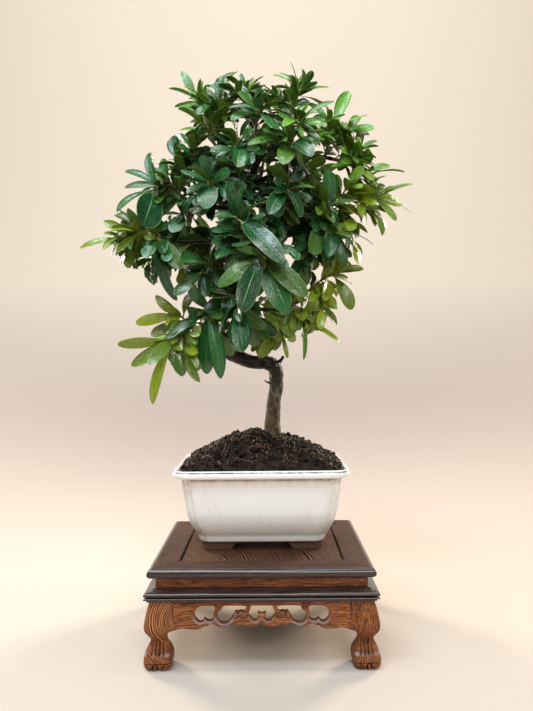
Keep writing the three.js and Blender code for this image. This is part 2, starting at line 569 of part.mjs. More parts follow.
// Each spray: the branch it leaves and how far along, its twig's end, the length of its longest random
// leaves, its side twigs' ends, and the tips of the leaves that shape the outline, each as
// [x, y, z, width as a share of length].
const SPRAYS = {
  far_left: { branch: 'left_mid', at: 1, end: [-134, -22, 387], longest: 30, forks: [],
    tips: [[-174, -26, 380, 0.28], [-141, -34, 370, 0.2], [-134, -8, 402, 0.45],
      [-150, -12, 388, 0.22], [-128, -24, 364, 0.2]] },
  left_drop: { branch: 'left_mid', at: 0.72, end: [-97, -40, 384], longest: 32, forks: [[-104, -24, 362]],
    tips: [[-102, -60, 361, 0.62], [-72, -52, 353, 0.46], [-83, -30, 325, 0.24],
      [-93, -24, 356, 0.4], [-119, -44, 362, 0.4]] },
  left_mid: { branch: 'left_up', at: 1, end: [-101, -32, 431], longest: 30, forks: [[-64, -34, 404]],
    tips: [[-103, -52, 391, 0.72], [-136, -34, 411, 0.4], [-109, -18, 473, 0.36],
      [-132, -12, 456, 0.25], [-129, -24, 436, 0.3]] },
  left_top: { branch: 'left_up', at: 0.8, end: [-76, -18, 461], longest: 28, forks: [[-60, -24, 482]],
    tips: [[-84, -10, 491, 0.75], [-58, -48, 462, 0.45], [-95, -34, 457, 0.4]] },
  top_left: { branch: 'top_left', at: 1, end: [-62, 0, 530], longest: 28, forks: [[-58, -8, 492]],
    tips: [[-77, 0, 560, 0.36], [-89, -6, 545, 0.24], [-87, 8, 532, 0.3],
      [-58, 12, 556, 0.32], [-70, -26, 512, 0.4]] },
  top_centre_left: { branch: 'top_left', at: 0.75, end: [-40, -14, 524], longest: 28,
    forks: [[-46, -24, 486]],
    tips: [[-35, -8, 553, 0.45], [-22, 6, 562, 0.36], [-58, -38, 503, 0.4], [-17, -34, 516, 0.4]] },
  top_centre: { branch: 'trunk', at: 1, end: [-13, 3, 541], longest: 26, forks: [[8, -6, 530]],
    tips: [[-6, 8, 556, 0.5], [-18, 8, 559, 0.34], [6, -20, 530, 0.4], [-30, 24, 548, 0.4]] },
  top_mid: { branch: 'trunk', at: 0.9, end: [3, -40, 502], longest: 30, forks: [[-22, -30, 526]],
    tips: [[-26, -58, 498, 0.34], [7, -56, 514, 0.4], [22, -52, 507, 0.24],
      [-24, -66, 486, 0.24], [15, -76, 476, 0.4]] },
  top_right: { branch: 'top_right', at: 1, end: [39, 4, 545], longest: 28, forks: [[18, -8, 526]],
    tips: [[15, 4, 557, 0.36], [23, 13, 566, 0.26], [33, -2, 563, 0.46], [50, 10, 566, 0.3],
      [15, -10, 540, 0.24], [71, 0, 542, 0.4], [70, 18, 531, 0.4]] },
  right_top_front: { branch: 'top_right', at: 0.7, end: [39, -42, 489], longest: 32, forks: [[60, -30, 482]],
    tips: [[13, -62, 498, 0.22], [71, -42, 511, 0.2], [24, -76, 476, 0.24],
      [63, -58, 484, 0.3], [47, -28, 513, 0.36]] },
  right_top_low: { branch: 'right_up', at: 0.35, end: [31, -52, 468], longest: 34, forks: [[48, -34, 446]],
    tips: [[7, -76, 473, 0.24], [-9, -64, 464, 0.3], [47, -80, 450, 0.44], [22, -78, 441, 0.4]] },
  upper_right: { branch: 'right_up', at: 0.8, end: [75, -5, 497], longest: 32, forks: [[94, -6, 496]],
    tips: [[91, 0, 540, 0.36], [108, -10, 510, 0.34], [50, 6, 532, 0.26],
      [60, -34, 480, 0.4], [90, -36, 484, 0.4]] },
  right_brown: { branch: 'right_up', at: 1, end: [96, -2, 472], longest: 30, forks: [],
    tips: [[104, 6, 502, 0.36], [92, -16, 492, 0.5], [119, -6, 480, 0.4], [77, -28, 452, 0.4]] },
  far_right_up: { branch: 'right_up', at: 0.9, end: [108, -14, 446], longest: 30, forks: [[96, -24, 462]],
    tips: [[129, -8, 462, 0.3], [142, -16, 450, 0.3], [70, -34, 453, 0.24],
      [86, -38, 437, 0.3], [106, 14, 468, 0.4]] },
  far_right: { branch: 'right_mid', at: 1, end: [118, -8, 428], longest: 32, forks: [[92, -14, 384]],
    tips: [[151, -12, 440, 0.3], [150, -16, 411, 0.34], [131, -28, 401, 0.4],
      [115, -20, 399, 0.4], [151, 10, 430, 0.34], [97, -34, 406, 0.4]] },
  right_mid: { branch: 'right_mid', at: 0.8, end: [67, -24, 417], longest: 32, forks: [],
    tips: [[66, -34, 446, 0.62], [40, -48, 416, 0.22], [90, -38, 418, 0.26],
      [99, -4, 391, 0.5], [53, -48, 390, 0.5]] },
  right_mid_low: { branch: 'right_mid', at: 0.65, end: [68, -30, 389], longest: 32, forks: [[44, -22, 366]],
    tips: [[86, -46, 384, 0.5], [66, -54, 364, 0.54], [99, -22, 373, 0.4],
      [82, -36, 358, 0.5], [49, -54, 366, 0.5]] },
  right_low_out: { branch: 'right_low', at: 1, end: [76, 0, 354], longest: 30, forks: [[62, -16, 314]],
    tips: [[104, 0, 359, 0.44], [92, -6, 318, 0.46], [96, 18, 348, 0.4],
      [63, -28, 325, 0.4], [66, -22, 376, 0.4]] },
  right_low: { branch: 'right_low', at: 0.85, end: [44, -5, 307], longest: 32, forks: [],
    tips: [[80, -8, 287, 0.2], [61, -22, 296, 0.44], [44, -14, 269, 0.22],
      [56, -22, 326, 0.4], [33, -42, 331, 0.4]] },
  low_right: { branch: 'right_low', at: 0.45, end: [20, 6, 297], longest: 30, forks: [[2, 10, 290]],
    tips: [[27, 0, 270, 0.24], [-2, -2, 271, 0.46], [10, 24, 277, 0.4], [38, 26, 287, 0.4]] },
  low_centre: { branch: 'trunk', at: 0.57, end: [-20, -44, 318], longest: 34, forks: [[-2, -34, 300]],
    tips: [[-15, -64, 276, 0.62], [5, -62, 297, 0.4], [-38, -62, 290, 0.5], [0, -62, 330, 0.4]] },
  low_left_centre: { branch: 'trunk', at: 0.5, end: [-50, -20, 318], longest: 36, forks: [],
    tips: [[-38, -32, 252, 0.36], [-53, -20, 255, 0.46], [-88, -42, 290, 0.24],
      [-66, -36, 340, 0.5], [-28, -8, 272, 0.46]] },
  low_left: { branch: 'left_low', at: 1, end: [-87, -24, 288], longest: 32, forks: [[-70, -34, 270]],
    tips: [[-137, -28, 284, 0.3], [-122, -32, 264, 0.34], [-101, -46, 266, 0.4],
      [-106, -30, 228, 0.26], [-72, -46, 255, 0.44]] },
  low_left_up: { branch: 'left_low', at: 0.6, end: [-81, -6, 314], longest: 30, forks: [[-94, 10, 300]],
    tips: [[-123, -12, 306, 0.34], [-103, -14, 332, 0.42], [-68, 8, 339, 0.5], [-114, 18, 295, 0.3]] },
  left_inner: { branch: 'trunk', at: 0.635, end: [-54, -32, 353], longest: 30, forks: [],
    tips: [[-79, -48, 330, 0.5], [-50, -44, 328, 0.5], [-68, -60, 360, 0.6], [-42, -56, 374, 0.5]] },
  front_up: { branch: 'front', at: 0.9, end: [-19, -80, 393], longest: 32, forks: [],
    tips: [[-36, -98, 389, 0.66], [20, -114, 352, 0.44], [-25, -88, 422, 0.46],
      [-12, -98, 416, 0.3], [4, -100, 402, 0.5]] },
  front_low: { branch: 'front', at: 1, end: [7, -90, 355], longest: 36, forks: [],
    tips: [[-17, -106, 362, 0.34], [-33, -102, 332, 0.34], [-13, -116, 310, 0.44],
      [40, -106, 323, 0.42], [24, -96, 308, 0.5]] },
  front_left: { branch: 'left_up', at: 0.35, end: [-44, -58, 430], longest: 32, forks: [[-14, -36, 436]],
    tips: [[-62, -76, 416, 0.5], [-46, -82, 400, 0.56], [-70, -62, 440, 0.4], [-26, -84, 434, 0.44]] },
  front_right: { branch: 'right_mid', at: 0.4, end: [26, -62, 422], longest: 32, forks: [[14, -44, 404]],
    tips: [[36, -84, 392, 0.5], [10, -86, 396, 0.44], [48, -76, 420, 0.44], [18, -88, 438, 0.44]] },
  front_top: { branch: 'top_left', at: 0.35, end: [-20, -52, 462], longest: 30, forks: [[-30, -40, 440]],
    tips: [[-42, -72, 454, 0.44], [-4, -78, 444, 0.44], [-32, -62, 478, 0.4], [-18, -80, 438, 0.4]] },
  back_top: { branch: 'back_up', at: 1, end: [6, 66, 512], longest: 32, forks: [[-14, 74, 506]],
    tips: [[-4, 84, 538, 0.4], [28, 82, 530, 0.4]] },
  back_left_up: { branch: 'back_up', at: 0.5, end: [-48, 58, 476], longest: 32, forks: [[-56, 66, 448]],
    tips: [[-80, 70, 490, 0.4], [-66, 86, 462, 0.44]] },
  back_right_up: { branch: 'back_up', at: 0.7, end: [56, 58, 468], longest: 32, forks: [[58, 74, 444]],
    tips: [[86, 70, 486, 0.4], [74, 86, 454, 0.44]] },
  back_left: { branch: 'back_low', at: 0.6, end: [-70, 56, 400], longest: 32, forks: [[-88, 50, 376]],
    tips: [[-108, 60, 410, 0.4], [-94, 82, 386, 0.46]] },
  back_right: { branch: 'right_mid', at: 0.3, end: [56, 50, 402], longest: 32, forks: [[76, 50, 376]],
    tips: [[92, 60, 408, 0.4], [82, 78, 384, 0.46]] },
  back_mid: { branch: 'back_low', at: 1, end: [-12, 88, 420], longest: 34, forks: [[-2, 90, 386]],
    tips: [[-20, 112, 444, 0.4], [8, 110, 400, 0.46]] },
  back_low_left: { branch: 'back_low', at: 0.8, end: [-40, 72, 348], longest: 32, forks: [],
    tips: [[-62, 92, 322, 0.44], [-76, 66, 336, 0.4]] },
  back_low_right: { branch: 'right_low', at: 0.3, end: [16, 52, 336], longest: 32, forks: [],
    tips: [[38, 72, 312, 0.44], [48, 52, 334, 0.4]] },
};

// A point part of the way along a branch.
function onBranch(name, share) {
  const line = BRANCHES[name];
  const place = share * (line.length - 1);
  const k = Math.min(Math.floor(place), line.length - 2);
  return vector(line[k]).lerp(vector(line[k + 1]), place - k);
}

// A twig's centre line: a parabola that bows upwards between its two ends.
function twigPoint(from, to, t) {
  const bow = 0.4 * t * (1 - t) * from.distanceTo(to);
  return from.clone().lerp(to, t).addScaledVector(UP, bow);
}

// Where a leaf goes: its foot on the twig, its tip, the way its upper face looks and its width.
// Upper faces look up and outwards from a point on the far side of the crown, so that the front sprays
// face forwards and the back ones backwards.
const FRONT_SOURCE = vector([-15, 130, 350]);
const BACK_SOURCE = vector([-15, -90, 350]);
const BACK_FROM = 30;
function leafPlace(foot, tip, roll, share) {
  const along = tip.clone().sub(foot).normalize();
  const source = foot.y > BACK_FROM ? BACK_SOURCE : FRONT_SOURCE;
  const face = foot.clone().sub(source).normalize().addScaledVector(UP, 0.4);
  const normal = face.addScaledVector(along, -face.dot(along)).normalize().applyAxisAngle(along, roll);
  return { foot, tip, along, normal, share };
}

// The centre lines of a spray's twigs: the main one first, then those that fork from it.
function twigLines({ branch, at, end, forks }) {
  const from = onBranch(branch, at);
  const to = vector(end);
  const side = forks.map((fork, i) => [twigPoint(from, to, 0.3 + 0.25 * i), vector(fork)]);
  return [[from, to], ...side];
}

// The trial places of every leaf of a spray, in order of preference for each leaf.
function leafTrials(spray, seed) {
  const random = sequence(seed);
  const lines = twigLines(spray);
  const leaves = spray.tips.map(([x, y, z, share], i) => {
    const foot = twigPoint(...lines[0], 1 - (0.4 * i) / spray.tips.length);
    const roll = 0.5 * (random() - 0.5);
    const trial = k => leafPlace(foot, vector([x, y + 4 * k, z]), roll + 0.3 * k, share);
    return [0, 1, -1, 2, -2, 3, -3].map(trial);
  });
  lines.forEach((line, which) => {
    const fill = which === 0 ? TWIG_LEAVES - spray.tips.length : FORK_LEAVES;
    const first = which === 0 ? 0.25 : 0.4;
    const turn = 6.28 * random();
    for (let j = 0; j < fill; j++) {
      const t = first + ((1 - first) * (j + 0.5)) / fill;
      const foot = twigPoint(...line, t);
      const along = twigPoint(...line, t + 0.05).sub(foot).normalize();
      const side = along.clone().cross(UP).normalize();
      const other = along.clone().cross(side);
      const spread = 1.2 - 0.5 * t + 0.3 * random();
      const reach = spray.longest * (0.7 + 0.3 * random());
      const share = 0.38 + 0.16 * random();
      const roll = 0.8 * (random() - 0.5);
      const lift = THREE.MathUtils.clamp((foot.z - 440) / 200, -0.6, 0.3);
      const outward = foot.clone().sub(CROWN_CENTRE).normalize();
      leaves.push(
        [0, 1, 2, 3, 4, 5, 6].map(k => {
          const a = turn + GOLDEN_ANGLE * j + 0.9 * k;
          const way = along
            .clone()
            .multiplyScalar(Math.cos(spread))
            .addScaledVector(side, Math.sin(spread) * Math.cos(a))
            .addScaledVector(other, Math.sin(spread) * Math.sin(a))
            .addScaledVector(outward, 0.4)
            .addScaledVector(UP, lift)
            .normalize();
          const tip = foot.clone().addScaledVector(way, reach * (1 - 0.06 * k));
          return leafPlace(foot, tip, roll, share);
        })
      );
    }
  });
  return leaves;
}

function middleOf(points) {
  const middle = new THREE.Vector3();
  for (const point of points) middle.addScaledVector(point, 1 / points.length);
  return middle;
}

// How far any of the points stands out beyond the plane of one of the faces.
function bulge(faces, points) {
  const used = [...new Set(faces.flat())];
  const stands = faces.map(face => {
    const [a, b, c] = face.map(i => points[i]);
    const out = b.clone().sub(a).cross(c.clone().sub(a)).normalize();
    return Math.max(...used.map(i => points[i].clone().sub(a).dot(out)));
  });
  return Math.max(...stands);
}

// The triangles between a triangle and a ring of three, turned and split so that they close the fullest
// solid.
function bridge(root, ring, points) {
  const choices = [0, 1, 2].map(turn => {
    const low = [0, 1, 2].map(i => root[(i + turn) % 3]);
    const sides = [[0, 1], [1, 2], [2, 0]].flatMap(([a, b]) => {
      const corners = [low[a], low[b], ring[b], ring[a]];
      const [p, q, r, s] = corners.map(i => points[i]);
      const ridge = q.clone().sub(p).cross(r.clone().sub(p)).dot(s.clone().sub(p)) < 0;
      const [i, j, k, l] = corners;
      return ridge ? [[i, j, k], [i, k, l]] : [[i, j, l], [j, k, l]];
    });
    return { sides, bulge: bulge([[...root].reverse(), ring, ...sides], points) };
  });
  return choices.sort((a, b) => a.bulge - b.bulge)[0];
}

// A twig's triangles that something can grow from in a direction, the nearest to a point first.
function rootFaces(twig, point, direction, taken) {
  return twig.faces
    .map((face, index) => {
      const [a, b, c] = face.map(i => twig.points[i]);
      const out = b.clone().sub(a).cross(c.clone().sub(a)).normalize();
      const facing = out.dot(direction);
      return { face, index, facing, cost: middleOf([a, b, c]).distanceTo(point) - 4 * facing };
    })
    .filter(({ index, facing }) => facing > 0.3 && !taken.has(index))
    .sort((a, b) => a.cost - b.cost);
}

// The corner points and triangles of a geometry.
function parts(geometry) {
  const { position } = geometry.attributes;
  const points = [];
  const faces = [];
  for (let i = 0; i < position.count; i++) points.push(new THREE.Vector3().fromBufferAttribute(position, i));
  for (let i = 0; i < geometry.index.count; i += 3) {
    faces.push([i, i + 1, i + 2].map(k => geometry.index.getX(k)));
  }
  return { points, faces };
}

// A spray's twigs from 0.3 mm off the wood to their ends, as corner points and triangles that leaves can
// grow from.
const TWIG_RADIUS = 1.5;
const TWIG_TAPER = 0.5;
const TWIG_STEP = 7;
const FORK_RINGS = [[0.3, 1.1], [0.65, 1], [1, 0.8]];
function makeTwig(spray, trunk, random) {
  const [[from, to], ...forks] = twigLines(spray);
  const reach = from.distanceTo(to);
  const steps = Math.max(5, Math.round(reach / TWIG_STEP));
  const build = start => {
    const shares = Array.from({ length: steps + 1 }, (_, k) => start + ((1 - start) * k) / steps);
    const centres = shares.map(t => twigPoint(from, to, t));
    const radii = shares.map(t => TWIG_RADIUS - TWIG_TAPER * t);
    return loft(tubeRings(centres, radii, 4, 0.1, random));
  };
  let start = GRAFT / reach;
  let tube = build(start);
  while (solid(tube).minGap(trunk, 2 * GRAFT) < GRAFT) {
    start += GRAFT / 2 / reach;
    tube = build(start);
  }
  const twig = parts(tube);
  for (const [foot, end] of forks) {
    const centres = FORK_RINGS.map(([t]) => twigPoint(foot, end, t));
    const rings = tubeRings(centres, FORK_RINGS.map(([, radius]) => radius), 3, 0, random);
    const { face, index } = rootFaces(twig, foot, end.clone().sub(foot).normalize(), new Set())[0];
    twig.faces.splice(index, 1);
    let low = face;
    for (const ring of rings) {
      const high = ring.map((_, i) => twig.points.length + i);
      twig.points.push(...ring);
      twig.faces.push(...bridge(low, high, twig.points).sides);
      low = high;
    }
    twig.faces.push(low);
  }
  twig.body = solid(faceted(twig.points, twig.faces));
  return twig;
}

// The blade's corners: two rings of left rim, right rim and keel, and a blunt tip of two points.
// Each ring: share of the length, width as a share of the half width, keel's depth below the midline.
const BLADE_RINGS = [[0.45, 0.86, 0.5], [0.8, 0.93, 0.4]];
const BLADE_ARCH = 0.28;
const RIM_LIFT = 0.25;
const TIP_WIDTH = 0.35;
function bladePoints({ foot, tip, along, normal, share }) {
  const length = foot.distanceTo(tip);
  const half = (share * Math.min(length, LONGEST_BLADE)) / 2;
  const sideways = along.clone().cross(normal);
  const points = BLADE_RINGS.flatMap(([u, width, keel]) => {
    const arch = BLADE_ARCH * length * u * (1 - u);
    const at = (side, height) =>
      foot
        .clone()
        .addScaledVector(along, u * length)
        .addScaledVector(normal, arch + height)
        .addScaledVector(sideways, side);
    const rim = RIM_LIFT * half;
    return [at(-width * half, rim), at(width * half, rim), at(0, -keel)];
  });
  const tips = [-1, 1].map(sign => tip.clone().addScaledVector(sideways, sign * TIP_WIDTH * half));
  return [...points, ...tips];
}

// The triangles of a blade that grows from a triangle of its twig. The blade's corners start at index first.
function bladeFaces(root, points, first) {
  const ring = [first, first + 1, first + 2];
  const next = ring.map(i => i + 3);
  const [left, right, keel] = next;
  const [tipLeft, tipRight] = [first + 6, first + 7];
  return [
    ...bridge(root, ring, points).sides,
    ...[[0, 1], [1, 2], [2, 0]].flatMap(([a, b]) => [
      [ring[a], ring[b], next[b]],
      [ring[a], next[b], next[a]],
    ]),
    [left, right, tipRight],
    [left, tipRight, tipLeft],
    [right, keel, tipRight],
    [keel, tipLeft, tipRight],
    [keel, left, tipLeft],
  ];
}

// True where two boxes come within a distance of each other.
function boxesNear(a, b, reach) {
  return [0, 1, 2].every(i => a.min[i] - reach < b.max[i] && b.min[i] - reach < a.max[i]);
}

const boxed = body => ({ body, box: body.boundingBox() });
const near = (one, others, reach) => others.filter(other => boxesNear(one.box, other.box, reach));

// A blade on one of the twig's free triangles, or nothing where it would cross a neighbour.
const ROOT_TRIALS = 8;
const LARGEST_BULGE = 0.02;
const LEAF_GAP = 0.1;
const NO_VOLUME = 1e-6;
function tryBlade(place, twig, taken, leaves, others) {
  const first = twig.points.length;
  const points = [...twig.points, ...bladePoints(place)];
  for (const { face, index } of rootFaces(twig, place.foot, place.along, taken).slice(0, ROOT_TRIALS)) {
    if (bridge(face, [first, first + 1, first + 2], points).bulge > LARGEST_BULGE) continue;
    const faces = bladeFaces(face, points, first);
    const used = [...new Set(faces.flat())];
    const closed = [[...face].reverse(), ...faces].map(corners => corners.map(i => used.indexOf(i)));
    const leaf = { ...boxed(solid(faceted(used.map(i => points[i]), closed))), face, index, place };
    const apart = other => Math.abs(leaf.body.intersect(other.body).volume()) < NO_VOLUME;
    const loose = other =>
      other.face.some(i => face.includes(i)) || leaf.body.minGap(other.body, 2 * LEAF_GAP) > LEAF_GAP;
    if (
      apart(twig) &&
      near(leaf, leaves, 2 * LEAF_GAP).every(other => apart(other) && loose(other)) &&
      near(leaf, others, GRAFT).every(other => leaf.body.minGap(other.body, 2 * GRAFT) >= GRAFT)
    ) {
      return leaf;
    }
  }
  return null;
}

// Twigs first, then each spray's leaves, each turned clear of every other spray and of the wood.
function addSprays(trunk) {
  const random = sequence(31);
  const names = Object.keys(SPRAYS);
  const twigs = names.map(name => makeTwig(SPRAYS[name], trunk, random));
  const placed = [];
  names.forEach((name, s) => {
    const twig = twigs[s];
    const later = twigs.slice(s + 1).map(other => boxed(other.body));
    const others = [boxed(trunk), ...placed, ...later];
    const leaves = [];
    const taken = new Set();
    for (const places of leafTrials(SPRAYS[name], 101 + 7 * s)) {
      for (const place of places) {
        const leaf = tryBlade(place, twig, taken, leaves, others);
        if (leaf) {
          leaves.push(leaf);
          taken.add(leaf.index);
          break;
        }
      }
    }
    const points = [...twig.points];
    const faces = twig.faces.filter((_, i) => !taken.has(i));
    for (const { face, place } of leaves) {
      const first = points.length;
      points.push(...bladePoints(place));
      faces.push(...bladeFaces(face, points, first));
    }
    const body = solid(faceted(points, faces));
    placed.push(boxed(body));
    add('spray_' + name, body, LEAF);
  });
}

// The whole object

addStandTop();
addStandWaist();
for (const side of SIDES) addApron(side);
for (const [name, signX, signY] of [
  ['front_left', -1, -1],
  ['front_right', 1, -1],
  ['back_right', 1, 1],
  ['back_left', -1, 1],
]) {
  addLeg(name, signX, signY);
}
addPot();
addScreens();
const trunk = wood(0);
add('soil', soilSolid().subtract(wood(GRAFT)), EARTH);
add('trunk', trunk, BARK);
addSprays(trunk);

// The origin goes to the bottom centre of everything.
const box = new THREE.Box3().setFromObject(tree, true);
const centre = box.getCenter(new THREE.Vector3());
const bonsai = new THREE.Group();
tree.position.set(-centre.x, -centre.y, -box.min.z);
bonsai.add(tree);

export default bonsai;
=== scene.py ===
import math

import bmesh
import bpy
import numpy as np
from mathutils import Matrix, Vector, geometry, kdtree, noise


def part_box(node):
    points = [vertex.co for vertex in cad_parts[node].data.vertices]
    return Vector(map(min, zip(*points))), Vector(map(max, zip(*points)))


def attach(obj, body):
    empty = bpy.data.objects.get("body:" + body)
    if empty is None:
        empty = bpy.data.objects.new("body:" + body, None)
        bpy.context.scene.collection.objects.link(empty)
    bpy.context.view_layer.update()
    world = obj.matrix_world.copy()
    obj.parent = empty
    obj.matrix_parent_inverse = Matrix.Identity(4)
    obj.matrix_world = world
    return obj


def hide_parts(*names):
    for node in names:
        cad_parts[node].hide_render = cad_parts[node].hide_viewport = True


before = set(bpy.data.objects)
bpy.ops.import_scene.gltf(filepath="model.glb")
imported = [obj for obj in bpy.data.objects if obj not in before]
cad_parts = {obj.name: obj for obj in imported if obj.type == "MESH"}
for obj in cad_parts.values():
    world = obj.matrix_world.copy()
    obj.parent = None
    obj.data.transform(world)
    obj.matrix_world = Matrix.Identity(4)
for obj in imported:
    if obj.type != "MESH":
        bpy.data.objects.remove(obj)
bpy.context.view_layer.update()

# The pieces and the camera are laid out in millimetres in the stand's own frame. Its origin is the middle of
# the stand, on the surface below it. A piece is moved into the row frame when it is made. The materials, the
# floor and the lamps are in metres.

MM = 0.001
panel_low, panel_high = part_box("stand_panel")
SHIFT = np.array([(panel_low.x + panel_high.x) / 2, (panel_low.y + panel_high.y) / 2, 0]) / MM
UP = np.array([0.0, 0.0, 1.0])
SIDES = ("front", "right", "back", "left")


def metres(points):
    """Points of the stand's frame in the row frame, in metres."""
    return (np.asarray(points, float) + SHIFT) * MM


def sequence(seed):
    """The same short random sequence every time, from 0 to 1."""
    state = seed
    while True:
        state = state * 48271 % 2147483647
        yield state / 2147483647


def unit(v):
    return v / np.linalg.norm(v, axis=-1, keepdims=True)


def run_along(line):
    """How far along a line of points each of them stands."""
    return np.concatenate([[0], np.cumsum(np.linalg.norm(np.diff(line, axis=0), axis=1))])


def ridge(x, middle, width):
    """From 1 at the middle down to nothing well beyond the width on either side."""
    return np.exp(-(((x - middle) / width) ** 2))


def step(x, low, high):
    """From 0 at low to 1 at high, smoothly."""
    t = np.clip((np.asarray(x, float) - low) / (high - low), 0, 1)
    return t * t * (3 - 2 * t)


def through(knots, values, at):
    """A smooth curve through values at rising knots, read at other places."""
    knots, values, at = (np.asarray(x, float) for x in (knots, values, at))
    slopes = np.gradient(values, knots, axis=0)
    k = np.clip(np.searchsorted(knots, at, side="right") - 1, 0, len(knots) - 2)
    gap = knots[k + 1] - knots[k]
    t = (at - knots[k]) / gap
    if values.ndim > 1:
        t, gap = t[:, None], gap[:, None]
    return (
        values[k] * (2 * t**3 - 3 * t**2 + 1)
        + values[k + 1] * (3 * t**2 - 2 * t**3)
        + slopes[k] * gap * (t**3 - 2 * t**2 + t)
        + slopes[k + 1] * gap * (t**3 - t**2)
    )


def round_loop(points, steps):
    """A closed smooth line through points, with steps pieces between each two."""
    p = np.asarray(points, float)
    before, after, beyond = np.roll(p, 1, 0), np.roll(p, -1, 0), np.roll(p, -2, 0)
    t = (np.arange(steps) / steps)[None, :, None]
    p0, p1, p2, p3 = (q[:, None, :] for q in (before, p, after, beyond))
    line = 0.5 * (
        2 * p1 + (p2 - p0) * t + (2 * p0 - 5 * p1 + 4 * p2 - p3) * t**2 + (3 * p1 - p0 - 3 * p2 + p3) * t**3
    )
    return line.reshape(-1, p.shape[1])


def loft(rings, caps=True):
    """Points and faces of a skin over rings that run up or along, with a fan over each end."""
    rings = np.asarray(rings, float)
    count, n = rings.shape[:2]
    i = np.arange(n)
    j = (i + 1) % n
    base = np.arange(count - 1)[:, None] * n
    faces = np.stack([base + i, base + j, base + j + n, base + i + n], -1).reshape(-1, 4).tolist()
    points = rings.reshape(-1, 3)
    if caps:
        first, top = count * n, (count - 1) * n
        points = np.vstack([points, rings[0].mean(0), rings[-1].mean(0)])
        faces += [(first, int(b), int(a)) for a, b in zip(i, j)]
        faces += [(first + 1, int(a) + top, int(b) + top) for a, b in zip(i, j)]
    return points, faces


def tube(line, radii, sides):
    """Rings of a round tube along a line of points."""
    line = np.asarray(line, float)
    radii = np.broadcast_to(radii, len(line))
    along = unit(np.gradient(line, axis=0))
    side = np.array([0.31, 0.9, 0.3])
    a = np.arange(sides) / sides * 2 * math.pi
    rings = []
    for point, way, radius in zip(line, along, radii):
        side = unit(side - way * side.dot(way))
        other = np.cross(way, side)
        rings.append(point + radius * (np.cos(a)[:, None] * side + np.sin(a)[:, None] * other))
    return np.array(rings)


def ball():
    """Points and faces of a small round lump of radius 1."""
    work = bmesh.new()
    bmesh.ops.create_icosphere(work, subdivisions=1, radius=1)
    points = np.array([v.co for v in work.verts])
    faces = [[v.index for v in f.verts] for f in work.faces]
    work.free()
    return points, faces


def tree_of(points):
    """A tree that finds the points near a place."""
    tree = kdtree.KDTree(len(points))
    for i, point in enumerate(points):
        tree.insert(point, i)
    tree.balance()
    return tree


def shown(name, data):
    """A new object in the scene."""
    made = bpy.data.objects.new(name, data)
    bpy.context.scene.collection.objects.link(made)
    return made


def smoothed(mesh):
    mesh.polygons.foreach_set("use_smooth", [True] * len(mesh.polygons))


class Parts:
    """Points, faces, material numbers and values per point of the shells that make one piece."""

    def __init__(self):
        self.points, self.faces, self.kinds, self.values, self.count = [], [], [], {}, 0

    def add(self, points, faces, kind=0, **values):
        self.points.append(np.asarray(points, float))
        self.faces.extend([[i + self.count for i in face] for face in faces])
        self.kinds.extend([kind] * len(faces) if np.isscalar(kind) else kind)
        for name, value in values.items():
            shape = (len(points),) + np.shape(value)[1:] if np.ndim(value) else (len(points),)
            self.values.setdefault(name, []).append(np.broadcast_to(value, shape))
        self.count += len(points)

    def make(self, name, materials, replaced=(), smooth=40):
        """One object, riding on the body, in place of the CAD nodes it stands for."""
        mesh = bpy.data.meshes.new(name)
        mesh.from_pydata(metres(np.concatenate(self.points)), [], self.faces)
        for material in materials:
            mesh.materials.append(material)
        mesh.polygons.foreach_set("material_index", self.kinds)
        for key, value in self.values.items():
            value = np.concatenate(value)
            kind = "FLOAT_VECTOR" if value.ndim > 1 else "FLOAT"
            target = mesh.attributes.new(key, kind, "POINT").data
            target.foreach_set("vector" if value.ndim > 1 else "value", value.ravel().astype(np.float32))
        mesh.validate()
        smoothed(mesh)
        mesh.set_sharp_from_angle(angle=math.radians(smooth))
        piece = shown(name, mesh)
        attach(piece, "root")
        if replaced:
            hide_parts(*replaced)
        return piece


def turned_out(points, faces):
    """The same faces, all turned outwards."""
    work = bmesh.new()
    made = [work.verts.new(p) for p in points]
    for face in faces:
        work.faces.new([made[i] for i in face])
    bmesh.ops.recalc_face_normals(work, faces=work.faces)
    work.verts.index_update()
    faces = [[v.index for v in face.verts] for face in work.faces]
    work.free()
    return points, faces


def grid_of(across, up):
    """Every pair of a place across and a place up, as rows."""
    return np.stack(np.meshgrid(across, up), -1).reshape(-1, 2)


def rough(points, scale, seed, octaves=3):
    """Smooth noise from about -1 to 1 at points, with features about scale millimetres wide."""
    places = (np.asarray(points, float) / scale + seed * 7.31).tolist()
    return np.array([noise.fractal(p, 1.0, 2.1, octaves) for p in places])


# Materials

